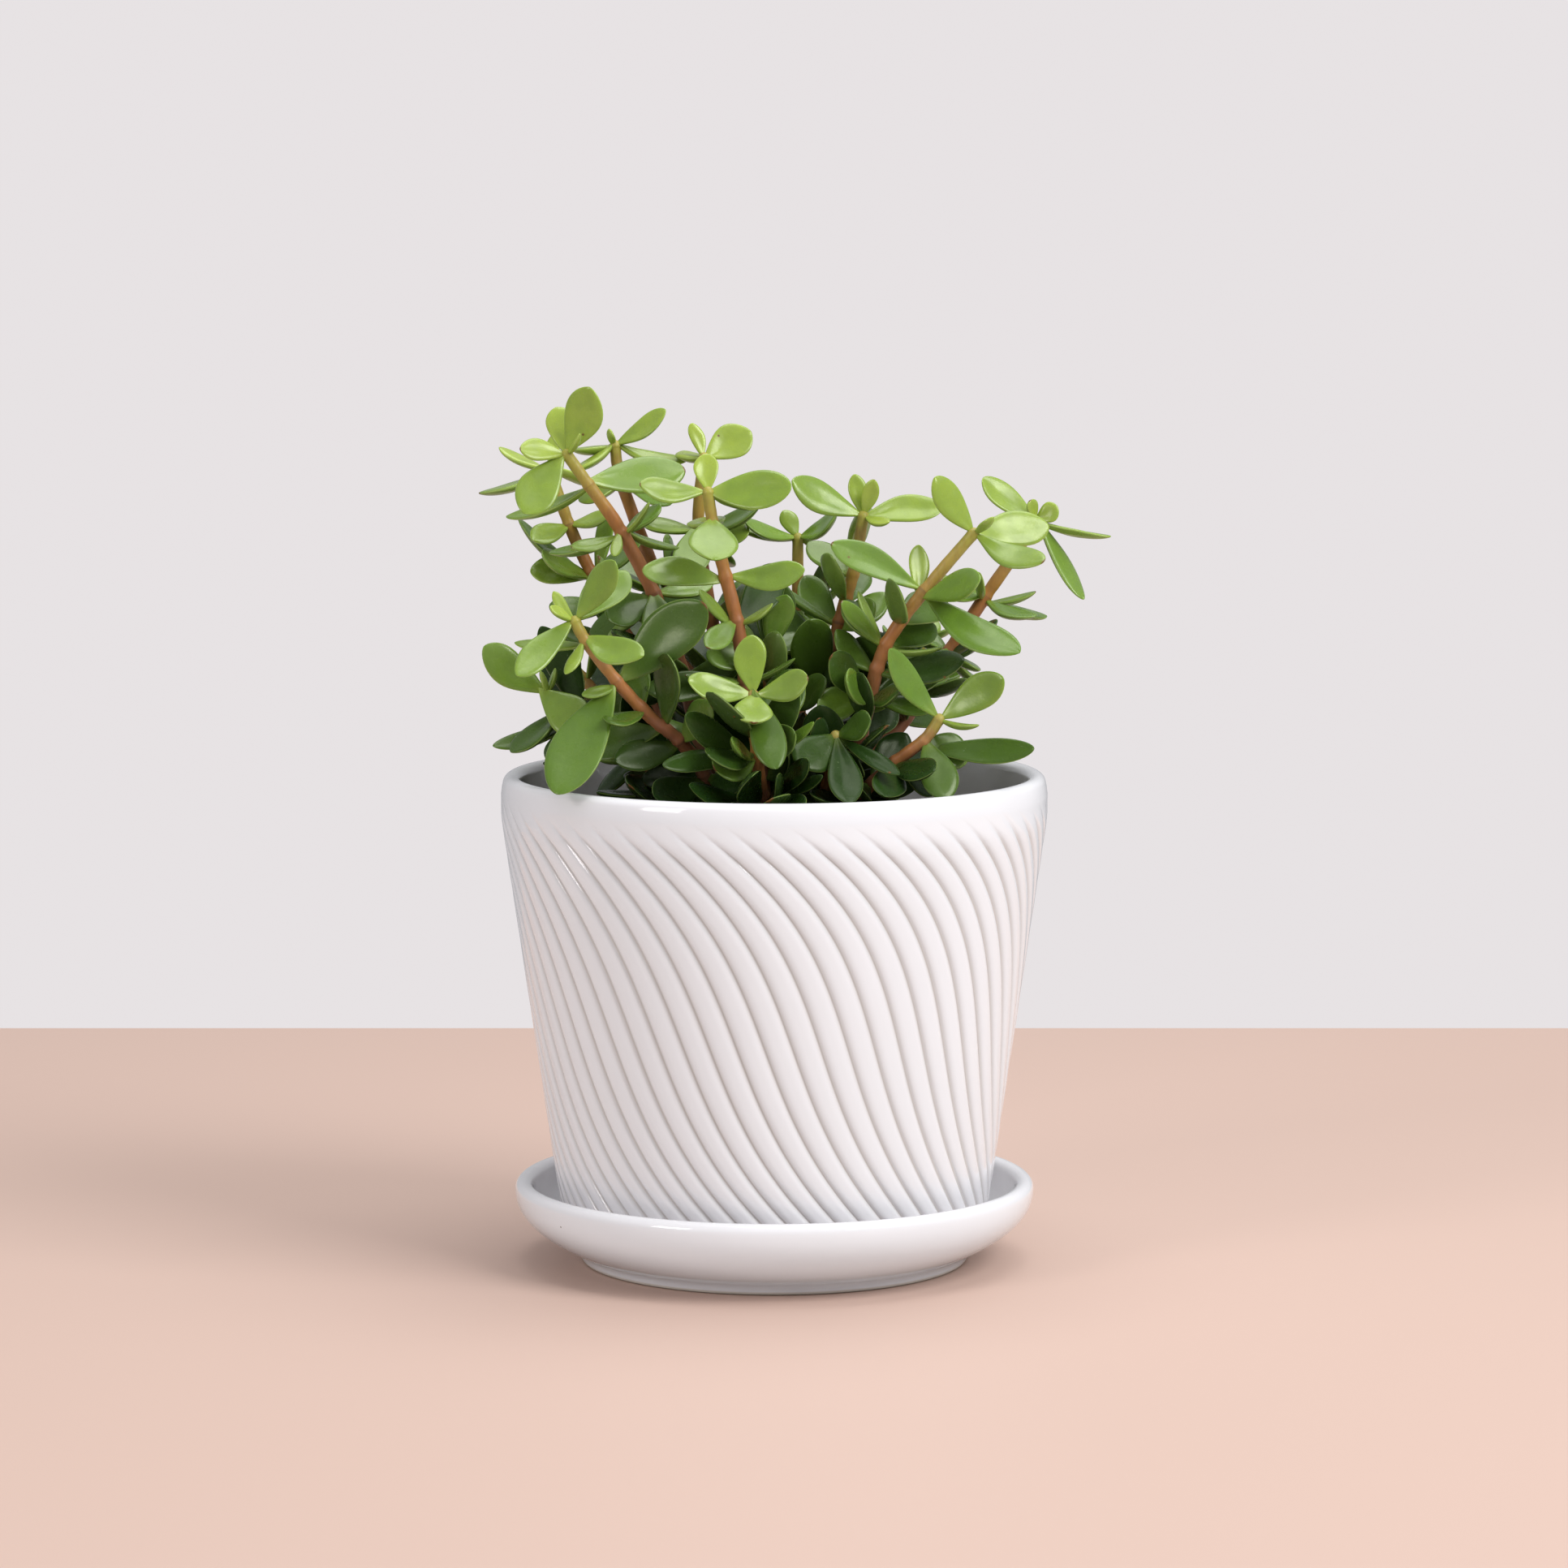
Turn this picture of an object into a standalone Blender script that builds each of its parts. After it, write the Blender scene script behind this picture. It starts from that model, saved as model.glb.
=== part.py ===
"""A jade plant in a white glazed pot on its saucer: pot, saucer, soil, five stems and their leaf groups.

Metres, +Z up, front towards -Y. The origin is on the pot's axis, at the underside of the saucer.
The plant's own table is in millimetres from the middle of the soil's surface.
"""

import math

import bmesh
import bpy
from mathutils import Matrix, Quaternion, Vector
from mathutils.bvhtree import BVHTree

MM = 0.001

# Pot
POT_HEIGHT = 0.1095
RIM_RADIUS = 0.0635
BASE_RADIUS = 0.0487
RIM_BAND = 0.010
POT_WALL = 0.0042
POT_FLOOR = 0.005
DRAIN_RADIUS = 0.006

# Saucer: it reaches a set distance out beyond the pot's base, and its foot is set in from its rim
SAUCER_REACH = 0.0120
SAUCER_HEIGHT = 0.0192
SAUCER_WALL = 0.0042
SAUCER_FLOOR = 0.0045
SAUCER_FOOT_INSET = 0.0149
SAUCER_FOOT_HEIGHT = 0.0025
SAUCER_FLARE = 2.3
SAUCER_HOLLOW = 2.0
SAUCER_CLEARANCE = 0.0005

# Soil and plant
HEADSPACE = 0.0143
SOIL_CROWN = 0.002
PLANTING_DEPTH = 0.008
GROWTH = 1.0
TRUNK_RADIUS = 0.0042
TRUNK_TOP_RADIUS = 0.0032
TRUNK_RISE = 0.007
TWIG_RADIUS = 0.0013
COLLAR_WALL = 0.0007
NODE_REACH = 0.005
COLLAR_HEIGHT = 0.002
LEAF_SKIN = 0.0009
LEAF_SWELL = 0.09
LEAF_CURL = -0.07

SEAT_GAP = 0.0003
LEAF_GAP = 0.0004
TURN_SEGMENTS = 40
LIGHT_FROM = Vector((0.10, -0.92, 0.38))
SAUCER_RADIUS = BASE_RADIUS + SAUCER_REACH
SAUCER_FOOT_RADIUS = SAUCER_RADIUS - SAUCER_FOOT_INSET
RIM_HEIGHT = SAUCER_FLOOR + SEAT_GAP + POT_HEIGHT
SOIL_HEIGHT = RIM_HEIGHT - HEADSPACE

# Each stem: its foot on the soil, then its branches. A branch is a name, its radius at the foot, the points it
# passes through, and its leaf groups. A leaf group is the number of its point and its leaves. A leaf is its tip
# (x, y, z), its width, and how far its face turns from the growing tip (0) to the light (1). All in millimetres.
STEMS = {
    "stem_left_front": ((-13, -9), (
        ("left_tall", 2.0, ((-16, -9, 18), (-21, -9, 38), (-27.5, -10, 56.5), (-35, -11, 71),
                            (-38.5, -11.5, 76.5), (-42.5, -12, 82), (-47.5, -12, 89)), (
            (7, ((-42, -15, 104.5, 9.6, 0.8), (-50, -5, 99.5, 7.5, 0.6), (-58, -17, 90.5, 6, 0.8),
                 (-57, -21, 76, 9.8, 0.9), (-44.3, -17, 94, 2.4, 0.2))),
            (6, ((-20.5, -3, 85, 10, 0.8), (-62, -1, 74, 6, 0.3))),
            (4, ((-46.5, -16, 68, 4.8, 0.5), (-28.5, -17, 78.3, 3.2, 0.3), (-36.5, -18, 66, 2.8, 0.9),
                 (-22, -4, 67, 5, 0.3), (-52, -6, 66, 5.5, 0.1))),
            (3, ((-38, -15, 47.5, 7, 0.1), (-14, -6, 59, 7, 0.4), (-30, 4, 50, 8, 0.5), (-24, -28, 46, 9, 0.8))),
        )),
        ("left_low", 1.7, ((-16, -19, 16), (-21.8, -27, 25), (-27.8, -29, 30), (-35.5, -31.5, 38.5),
                           (-42.6, -33, 48), (-45, -33, 52.5)), (
            (6, ((-35.7, -38, 66.5, 7.6, 0.8), (-50.5, -36, 56, 3.4, 0.5), (-50, -30, 59, 3, 0.3),
                 (-57.7, -43, 41, 7.2, 0.8), (-33.5, -22, 63, 10, 0.7))),
            (5, ((-29.3, -44, 45.5, 8, 0.7), (-59, -26, 47, 4.5, 0.2), (-47, -39, 41, 3.4, 0.5))),
            (4, ((-43.3, -37, 36, 3.5, 0.6), (-48.8, -49, 15, 13, 0.7), (-15.5, -34, 56.5, 12.5, 0.9))),
        )),
        ("left_side", 1.6, ((-24, -8, 12), (-36, -8, 23), (-46, -8, 29), (-52.5, -8, 33.5)), (
            (4, ((-67, -8, 44.5, 8.5, 0.7), (-43.5, -17, 26, 10, 0.9), (-53.8, -11, 39, 2, 0.2),
                 (-50.5, -8, 39.5, 2.2, 0.3))),
            (3, ((-65, -9, 21.5, 5.5, 0.5), (-49, 0, 41, 6.5, 0.4))),
            (2, ((-54, 5, 16, 6.5, 0.3), (-35.8, -20, 19, 12, 0.9), (-31, -11, 38, 9, 0.8))),
        )),
    )),
    "stem_middle_front": ((-1, -17), (
        ("middle_tall", 2.0, ((-3, -19, 16), (-6.5, -21, 38), (-8.5, -22, 51.5), (-11, -22, 61.5),
                              (-14, -22, 74), (-15, -22, 81)), (
            (6, ((-15.5, -18, 89.5, 5.8, 0.9), (-30.5, -26, 83, 6.5, 0.8), (4, -27, 82.5, 10, 0.9),
                 (-4, -9, 77, 6, 0.5))),
            (5, ((-13.5, -35, 66.5, 11.5, 0.9), (-17, -8, 74, 9, 0.2))),
            (4, ((-30, -26, 63.5, 7.6, 0.85), (7, -25, 63.5, 7.2, 0.85))),
            (3, ((-17, -26, 59, 3.4, 0.6), (-0.3, -25, 55.8, 3.4, 0.4), (-15, -34, 46.5, 6, 0.9))),
            (2, ((-20.3, -26, 39.5, 3.6, 0.4), (4.8, -27, 43.5, 2.6, 0.2), (-29.5, -27, 36.5, 8, 0.85))),
        )),
        ("middle_low", 1.6, ((-2.5, -28, 12), (-4, -33, 22), (-4.7, -36, 36)), (
            (3, ((-5, -34, 49.5, 7.5, 0.9), (-19.3, -42, 40, 7.2, 0.8), (7.7, -42, 40.5, 7.6, 0.8),
                 (-4.5, -48, 31, 9, 0.9))),
            (2, ((-9.5, -46, 27, 4.5, 0.8), (9, -42, 30.5, 3.4, 0.6), (-13.5, -42, 20, 9.5, 0.9),
                 (-25, -46, 21.2, 6, 0.6))),
            (1, ((0.5, -44, 18, 6.5, 0.9), (11, -44, 18.5, 3.8, 0.6), (-19, -46, 16.5, 6, 0.6),
                 (-9, -46, 9, 8.5, 0.9), (6, -47, 11, 8.5, 0.9))),
        )),
        ("middle_inner", 1.5, ((0, -14, 18), (-1, -14, 32), (-1.5, -14, 43)), (
            (3, ((3, -15, 57, 6.8, 0.8), (-12, -11, 51, 7, 0.5), (8, -6, 47, 8, 0.4),
                 (-15, -22, 42, 8, 0.8))),
        )),
    )),
    "stem_right_front": ((13, -13), (
        ("right_inner", 1.9, ((10.5, -9, 18), (12.5, -7, 36), (15, -6, 50), (18.2, -6, 61),
                              (20.5, -6, 74.5)), (
            (5, ((4, -11, 83, 8.6, 0.8), (39, -3, 76.5, 7.6, 0.8), (18.5, -4, 84, 4.5, 0.9),
                 (23, -8, 83, 4, 0.9), (26.3, -13, 73.5, 3.6, 0.7), (20.5, 8, 67, 11, 0.9))),
            (3, ((0.5, -8, 59, 4.5, 0.3), (26, 3, 56, 8, 0.4))),
            (2, ((9.5, -16, 52.5, 10.5, 0.95), (19, 5, 44, 9, 0.3), (-2, -4, 41, 9, 0.7),
                 (26, -12, 31, 8, 0.8))),
        )),
        ("right_tall", 2.0, ((17.5, -15, 16), (22, -17, 34), (25.5, -19, 46), (34, -20, 58),
                             (45.5, -20, 71.5)), (
            (5, ((36.5, -23, 84.5, 7.6, 0.85), (63, -12, 72.5, 9, 0.8), (61, -33, 66, 7.4, 0.8),
                 (49.8, -24, 75.5, 3, 0.4))),
            (4, ((46.5, -35, 62, 8.6, 0.9), (33, -15, 68.5, 5, 0.7), (13, -17, 69, 8, 0.8),
                 (45, -28, 59.3, 4, 0.6), (55.5, -35, 45.5, 9.4, 0.8))),
            (3, ((15.3, -24, 56.3, 5, 0.7), (18, -18, 57.5, 3.5, 0.3), (38.3, -24, 45.8, 3, 0.05))),
            (2, ((16.5, -31, 38.5, 9, 0.9), (36, -22, 31, 6, 0.6), (38.5, -8, 39, 8, 0.5),
                 (10, -24, 31, 8.5, 0.8))),
        )),
        ("right_low", 1.6, ((20, -22, 12), (27.5, -28, 20), (34, -30, 25), (37.5, -30.5, 30)), (
            (4, ((51.8, -36, 40, 8.4, 0.85), (46.3, -37, 29.3, 2.8, 0.3), (26, -36, 46.5, 7, 0.8))),
            (3, ((59, -33, 23.5, 7, 0.6), (44.5, -22, 20, 7.5, 0.8), (39, -38, 12.5, 9, 0.85))),
        )),
        ("front_low", 1.4, ((12, -24, 14), (14, -29, 26)), (
            (2, ((28.3, -41, 18.5, 4.6, 0.6), (21.8, -36, 30, 8, 0.75), (4, -38, 22, 10, 0.9),
                 (17, -46, 12.5, 8, 0.9))),
        )),
    )),
    "stem_left_back": ((-10, 14), (
        ("back_left", 1.8, ((-22, 12, 18), (-34, 13, 44), (-43, 14, 60), (-48, 14, 71), (-52.5, 14, 84)), (
            (5, ((-64.5, 18, 89, 5, 0), (-69, 12, 78.5, 7, 0.1), (-50.5, 19, 93, 4, 0.3),
                 (-42, 19, 80, 6, 0.1))),
            (3, ((-57, 10, 60.5, 9, 0.6), (-54, 4, 65, 8, 0.6), (-39, 19, 75, 5, 0.4),
                 (-60, 16, 72.5, 6, 0.1))),
        )),
        ("back_left_tall", 1.9, ((-15, 20, 25), (-27, 24, 56), (-36, 25, 80), (-37.5, 25, 89)), (
            (4, ((-25.5, 22, 97.5, 6, 0.6), (-38.8, 23, 93, 3, 0.3), (-48, 26, 88, 6, 0), (-48, 20, 83, 6, 0),
                 (-20.5, 24, 85.5, 6, 0.4))),
            (2, ((-38, 32, 62, 8, 0.2), (-16, 26, 62, 8, 0.3), (-30, 12, 48, 9, 0.5), (-22, 37, 50, 9, 0.2))),
        )),
        ("back_middle_tall", 2.0, ((-11, 17, 25), (-15, 18, 50), (-18, 18, 70), (-16.5, 18, 86.5)), (
            (4, ((-19.5, 20, 94.5, 3.6, 0.7), (-5.5, 22, 92.5, 9, 0.9), (-21, 27, 87, 7, 0.3))),
            (3, ((-32, 20, 72, 7, 0.3), (-6, 12, 69, 9, 0.7), (-20, 6, 60, 9, 0.5), (-10, 30, 60, 8, 0.2))),
        )),
        ("rear_left", 1.7, ((-20, 28, 14), (-29, 38, 34), (-34, 45, 48)), ()),
        ("far_left", 1.6, ((-27, 19, 14), (-40, 24, 28), (-49, 27, 38)), ()),
    )),
    "stem_right_back": ((10, 14), (
        ("back_right_tall", 2.0, ((22, 16, 14), (35.5, 19, 32), (41, 20, 40.5), (49.5, 21, 53.5),
                                  (56.5, 21, 63.5), (61.5, 21, 71.5)), (
            (6, ((49, 23, 81.5, 7.5, 0.7), (66.5, 20, 75, 5, 0.8), (60, 18, 76.5, 4, 0.7), (79, 18, 68, 5, 0),
                 (72.5, 14, 53.5, 6, 0.4))),
            (4, ((61.5, 19, 55, 3.4, 0.3), (48, 12, 60, 3.6, 0.4), (64.5, 27, 48.5, 7, 0.05),
                 (40, 29, 58, 7, 0.3))),
            (3, ((48, 13, 37, 6, 0.2), (31, 27, 46, 8, 0.4), (33, 6, 36, 9, 0.6), (50, 30, 32, 8, 0.2))),
        )),
        ("back_inner", 1.8, ((6, 16, 22), (5.5, 19, 50), (5.5, 20, 67.5)), (
            (3, ((2, 20, 74, 4.5, 0.8), (14.5, 17, 72.5, 4.5, 0.4), (-9, 20, 70, 5, 0.1),
                 (16, 22, 64, 5, 0))),
            (2, ((-7, 12, 60, 8, 0.5), (17, 16, 59, 7, 0.2), (10, 6, 42, 9, 0.6), (0, 34, 44, 8.5, 0.2))),
        )),
        ("rear_middle", 1.7, ((6, 28, 14), (5, 40, 32), (4, 48, 46)), ()),
        ("rear_right", 1.7, ((20, 28, 14), (30, 38, 30), (36, 44, 42)), ()),
    )),
}

# A branch with no leaf table carries crossed pairs: the share of its length, the leaf's length and its lean.
CROSSED_PAIRS = ((1.0, 7, 28), (0.86, 13, 58), (0.52, 17, 72))


def clear_scene():
    for thing in list(bpy.data.objects):
        bpy.data.objects.remove(thing, do_unlink=True)


def new_collection(name, shown=True):
    made = bpy.data.collections.new(name)
    bpy.context.scene.collection.children.link(made)
    made.hide_render = not shown
    return made


def material(name, colour, roughness):
    made = bpy.data.materials.new(name)
    made.use_nodes = True
    shader = made.node_tree.nodes["Principled BSDF"]
    shader.inputs["Base Color"].default_value = (*colour, 1)
    shader.inputs["Roughness"].default_value = roughness
    shader.inputs["Metallic"].default_value = 0
    return made


def add_object(name, mesh, finish, collection):
    made = bpy.data.objects.new(name, mesh)
    collection.objects.link(made)
    if finish:
        mesh.materials.append(finish)
    return made


def shade_round(mesh, degrees=40):
    mesh.shade_smooth()
    mesh.set_sharp_from_angle(angle=math.radians(degrees))


def turned(name, profile, closed, finish, collection):
    """A profile of (radius, height) points turned about Z. It runs down its outer side."""
    shape = bmesh.new()
    points = [shape.verts.new((radius, 0, height)) for radius, height in profile]
    for first, second in zip(points, points[1:] + points[:1] if closed else points[1:]):
        shape.edges.new((first, second))
    mesh = bpy.data.meshes.new(name)
    shape.to_mesh(mesh)
    shape.free()
    made = add_object(name, mesh, finish, collection)
    screw = made.modifiers.new("turn", "SCREW")
    screw.steps = screw.render_steps = TURN_SEGMENTS
    screw.use_merge_vertices = True
    screw.merge_threshold = 0.00001
    screw.use_normal_calculate = True
    return made


def arc(centre, radius, start, end, count):
    """Points of a circular arc in the (radius, height) plane, angles in degrees from +radius."""
    steps = [math.radians(start + (end - start) * i / count) for i in range(count + 1)]
    return [(centre[0] + radius * math.cos(a), centre[1] + radius * math.sin(a)) for a in steps]


def pot_outer_radius(height):
    """The pot's outside radius at a height above its base: a straight taper under an upright rim band."""
    share = min(1, max(0, height / (POT_HEIGHT - RIM_BAND)))
    return BASE_RADIUS + (RIM_RADIUS - BASE_RADIUS) * share


def make_pot(finish, collection):
    base = SAUCER_FLOOR + SEAT_GAP
    lip = POT_WALL / 2
    profile = arc((RIM_RADIUS - lip, RIM_HEIGHT - lip), lip, 180, 0, 6)
    profile += [(pot_outer_radius(h), base + h) for h in (POT_HEIGHT - RIM_BAND, POT_HEIGHT * 0.45, 0.0015)]
    profile += [(BASE_RADIUS - 0.0012, base), (BASE_RADIUS - 0.007, base), (BASE_RADIUS - 0.0085, base + 0.0012)]
    profile += [(DRAIN_RADIUS, base + 0.0012), (DRAIN_RADIUS, base + POT_FLOOR)]
    inner_foot = pot_outer_radius(POT_FLOOR) - POT_WALL
    profile += [(inner_foot - 0.004, base + POT_FLOOR), (inner_foot, base + POT_FLOOR + 0.004)]
    profile += [(pot_outer_radius(POT_HEIGHT - RIM_BAND) - POT_WALL, RIM_HEIGHT - RIM_BAND)]
    return turned("pot", profile, True, finish, collection)


def make_saucer(finish, collection):
    lip = SAUCER_WALL / 2
    middle = (SAUCER_RADIUS - lip, SAUCER_HEIGHT - lip)
    bowl_depth = middle[1] - SAUCER_FOOT_HEIGHT
    bowl_reach = SAUCER_RADIUS - SAUCER_FOOT_RADIUS - 0.001
    inner_depth = middle[1] - SAUCER_FLOOR
    inner_top = SAUCER_RADIUS - SAUCER_WALL
    inner_reach = inner_top - BASE_RADIUS - SAUCER_CLEARANCE
    profile = [(0, SAUCER_FLOOR)]
    for step in range(4, 0, -1):
        drop = step / 4
        profile.append((inner_top - inner_reach * drop ** SAUCER_HOLLOW, middle[1] - inner_depth * drop))
    profile += arc(middle, lip, 180, 0, 5)
    for step in range(1, 6):
        drop = step / 5
        profile.append((SAUCER_RADIUS - bowl_reach * drop ** SAUCER_FLARE, middle[1] - bowl_depth * drop))
    profile += [(SAUCER_FOOT_RADIUS + 0.0003, SAUCER_FOOT_HEIGHT - 0.0006), (SAUCER_FOOT_RADIUS, 0.0005)]
    profile += [(SAUCER_FOOT_RADIUS - 0.0006, 0), (0, 0)]
    return turned("saucer", profile, False, finish, collection)


def make_soil(finish, collection):
    """A plug of soil: it follows the pot's inner wall and is slightly crowned on top."""
    base = SAUCER_FLOOR + SEAT_GAP
    edge = pot_outer_radius(SOIL_HEIGHT - base) - POT_WALL - SEAT_GAP
    foot = pot_outer_radius(POT_FLOOR) - POT_WALL - SEAT_GAP
    floor = base + POT_FLOOR + SEAT_GAP
    profile = [(0, SOIL_HEIGHT), (edge * 0.5, SOIL_HEIGHT - SOIL_CROWN * 0.3)]
    profile += [(edge * 0.93, SOIL_HEIGHT - SOIL_CROWN), (edge - 0.0008, SOIL_HEIGHT - SOIL_CROWN * 1.6)]
    profile += [(foot, floor + 0.0042), (foot - 0.0042, floor), (0, floor)]
    return turned("soil", profile, False, finish, collection)


def table_point(values):
    """A place in the plant's table, as metres in the part's frame."""
    return Vector(values) * MM * GROWTH + Vector((0, 0, SOIL_HEIGHT))


def smooth_route(points, steps=2):
    """A Catmull-Rom route through the points, with this many steps to each span."""
    ends = [points[0] * 2 - points[1], *points, points[-1] * 2 - points[-2]]
    route = []
    for before, first, second, after in zip(ends, ends[1:], ends[2:], ends[3:]):
        for step in range(steps):
            t = step / steps
            route.append(0.5 * (2 * first + (second - before) * t
                                + (2 * before - 5 * first + 4 * second - after) * t * t
                                + (3 * first - before - 3 * second + after) * t * t * t))
    return [*route, points[-1]]


def mesh_from_tube(name, route, radii, collection):
    """A round tube along a route, as a closed mesh object."""
    curve = bpy.data.curves.new(name, "CURVE")
    curve.dimensions = "3D"
    curve.bevel_depth = 1
    curve.bevel_resolution = 2
    curve.use_fill_caps = True
    spline = curve.splines.new("POLY")
    spline.points.add(len(route) - 1)
    for point, place, radius in zip(spline.points, route, radii):
        point.co = (*place, 1)
        point.radius = radius
    tube = add_object(name + "_curve", curve, None, collection)
    bpy.context.view_layer.update()
    evaluated = tube.evaluated_get(bpy.context.evaluated_depsgraph_get())
    mesh = bpy.data.meshes.new_from_object(evaluated)
    bpy.data.objects.remove(tube)
    shape = bmesh.new()
    shape.from_mesh(mesh)
    bmesh.ops.remove_doubles(shape, verts=shape.verts, dist=0.00001)
    bmesh.ops.recalc_face_normals(shape, faces=shape.faces)
    shape.to_mesh(mesh)
    shape.free()
    mesh.name = name
    return add_object(name, mesh, None, collection)


def combine(target, other, operation):
    """Applies one exact Boolean to the target's own mesh."""
    modifier = target.modifiers.new("combine", "BOOLEAN")
    modifier.operation = operation
    modifier.object = other
    modifier.solver = "EXACT"
    bpy.context.view_layer.update()
    evaluated = target.evaluated_get(bpy.context.evaluated_depsgraph_get())
    mesh = bpy.data.meshes.new_from_object(evaluated)
    target.modifiers.clear()
    target.data = mesh


class Branch:
    """A branch's points, its smooth route and its radius along it."""

    def __init__(self, name, foot, radius, points):
        self.name = name
        self.points = [table_point((*foot, 0)) + Vector((0, 0, TRUNK_RISE * 0.5)), *map(table_point, points)]
        self.route = smooth_route(self.points)
        self.radius = radius * MM * GROWTH

    def share(self, index):
        """How far along the branch one of its points is, from 0 to 1."""
        return index / (len(self.points) - 1)

    def radius_at(self, share):
        return self.radius + (TWIG_RADIUS * GROWTH - self.radius) * share

    def place(self, share):
        at = share * (len(self.route) - 1)
        first = min(int(at), len(self.route) - 2)
        return self.route[first].lerp(self.route[first + 1], at - first)

    def direction(self, share):
        return (self.place(min(1, share + 0.06)) - self.place(max(0, share - 0.06))).normalized()

    def tube(self, name, swell, collection):
        route = [*self.route[:-1], self.route[-1] + self.direction(1) * swell]
        radii = [self.radius_at(i / (len(route) - 1)) + swell for i in range(len(route))]
        return mesh_from_tube(name, route, radii, collection)

    def stretch(self, share, collection):
        """The space of the branch just before and after a leaf group, with the gap that the group keeps to it."""
        growth = self.direction(share)
        ends = (self.place(share) - growth * NODE_REACH, self.place(share) + growth * NODE_REACH)
        if share == 1:
            ends = (ends[0], self.place(share) + growth * SEAT_GAP)
        radius = self.radius_at(share) + SEAT_GAP
        return mesh_from_tube("stretch", ends, (radius, radius), collection)


class Leaf:
    """One leaf blade: its foot, its tip, its width, and the direction that its upper face looks in."""

    def __init__(self, foot, tip, width, growth, turn):
        self.foot, self.tip, self.width = foot, tip, width
        self.upward = growth.lerp(LIGHT_FROM.normalized(), turn)

    def turned_by(self, sideways, upwards, size):
        reach = self.tip - self.foot
        across = reach.cross(self.upward).normalized()
        lift = Quaternion(across, math.radians(upwards))
        swing = Quaternion(across.cross(reach).normalized(), math.radians(sideways))
        moved = Leaf(self.foot, self.foot + (swing @ lift @ reach) * size, self.width * size, self.upward, 0)
        moved.upward = swing @ lift @ self.upward
        return moved

    def point(self, along, around, skin=0.0):
        """A point of the surface, along the leaf from 0 to 1, and around it in radians from one margin."""
        reach = self.tip - self.foot
        across = reach.cross(self.upward).normalized()
        normal = across.cross(reach).normalized()
        middle = self.foot + reach * along + normal * (4 * LEAF_CURL * along * (1 - along) * reach.length)
        half_width = self.width / 2 * math.sin(math.pi * along ** 1.5) ** 0.6 + skin
        half_depth = (LEAF_SKIN + LEAF_SWELL * self.width) / 2 * (0.55 + 0.45 * math.sin(math.pi * along)) + skin
        return middle + across * (half_width * math.cos(around)) + normal * (half_depth * math.sin(around))

    def blade(self, skin=0.0):
        """The blade as a ball drawn out from foot to tip."""
        shape = bmesh.new()
        bmesh.ops.create_uvsphere(shape, u_segments=6, v_segments=4, radius=1)
        for vertex in shape.verts:
            around = math.atan2(vertex.co.y, vertex.co.x)
            along = 0.5 + 0.5 * vertex.co.z
            pole = abs(vertex.co.z) > 0.999
            vertex.co = self.foot.lerp(self.tip, round(along)) if pole else self.point(along, around, skin)
        bmesh.ops.recalc_face_normals(shape, faces=shape.faces)
        return shape


class Space:
    """The space that a solid fills, with its box for a quick first test."""

    def __init__(self, shape, owner=""):
        self.tree = BVHTree.FromBMesh(shape)
        self.owner = owner
        places = [vertex.co for vertex in shape.verts]
        self.low = Vector(map(min, zip(*places)))
        self.high = Vector(map(max, zip(*places)))
        self.outer = self

    def meets(self, other):
        apart = any(self.high[i] < other.low[i] or other.high[i] < self.low[i] for i in range(3))
        return not apart and bool(self.tree.overlap(other.tree))


def leaf_space(leaf, owner, skin=0.0):
    """A leaf's space, and its outer part alone, which its own group and branch keep clear of."""
    shape = leaf.blade(skin)
    space = Space(shape, owner)
    reach = leaf.tip - leaf.foot
    inner = [v for v in shape.verts if (v.co - leaf.foot).dot(reach) < 0.3 * reach.length_squared]
    bmesh.ops.delete(shape, geom=inner, context="VERTS")
    space.outer = Space(shape, owner)
    shape.free()
    return space


def turns_to_try():
    """Sideways and upward turns in degrees and a size, from the leaf as drawn to smaller, more turned ones."""
    for size in (1, 0.86, 0.72, 0.58, 0.45, 0.35, 0.25):
        yield 0, 0, size
        for reach in (6, 12, 18, 25, 33, 45):
            for step in range(12):
                angle = math.radians(30 * step)
                yield reach * math.cos(angle), reach * math.sin(angle), size


def settled(leaf, group, branch, spaces):
    """The leaf, turned aside as a growing leaf is until it clears everything that is already in place."""
    for sideways, upwards, size in turns_to_try():
        tried = leaf.turned_by(sideways, upwards, size)
        test = leaf_space(tried, group, LEAF_GAP)
        if not any((test.outer.meets(thing.outer) if thing.owner in (group, branch) else test.meets(thing))
                   for thing in spaces):
            return tried
    raise RuntimeError(f"no room for a leaf of {group}")


def crossed_pairs(branch):
    """Leaf groups for a branch without a table: crossed pairs, shorter and steeper towards the tip."""
    groups = []
    for number, (share, length, lean) in enumerate(CROSSED_PAIRS):
        growth = branch.direction(share)
        side = growth.orthogonal().normalized()
        foot = branch.place(share)
        leaves = []
        for quarter in ((0, 1, 2, 3) if number == 0 else (0, 2)):
            around = Quaternion(growth, math.radians(90 * (quarter + number) + 25)) @ side
            angle = math.radians(lean + (26 if quarter % 2 else 0))
            reach = (growth * math.cos(angle) + around * math.sin(angle)) * length * MM * GROWTH
            start = leaf_foot(branch, share, foot + reach)
            leaves.append(Leaf(start, start + reach, 0.5 * length * MM * GROWTH, growth, 0.15))
        groups.append((share, leaves))
    return groups


def leaf_foot(branch, share, tip):
    """The start of a leaf inside the branch, set back so that it comes out through its collar's middle."""
    place, growth = branch.place(share), branch.direction(share)
    reach = tip - place
    outwards = (reach - growth * reach.dot(growth)).length
    setback = (branch.radius_at(share) + COLLAR_WALL) * reach.dot(growth) / outwards
    most = 0 if share == 1 else NODE_REACH / 2
    return place - growth * max(-NODE_REACH / 2, min(most, setback))


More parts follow.
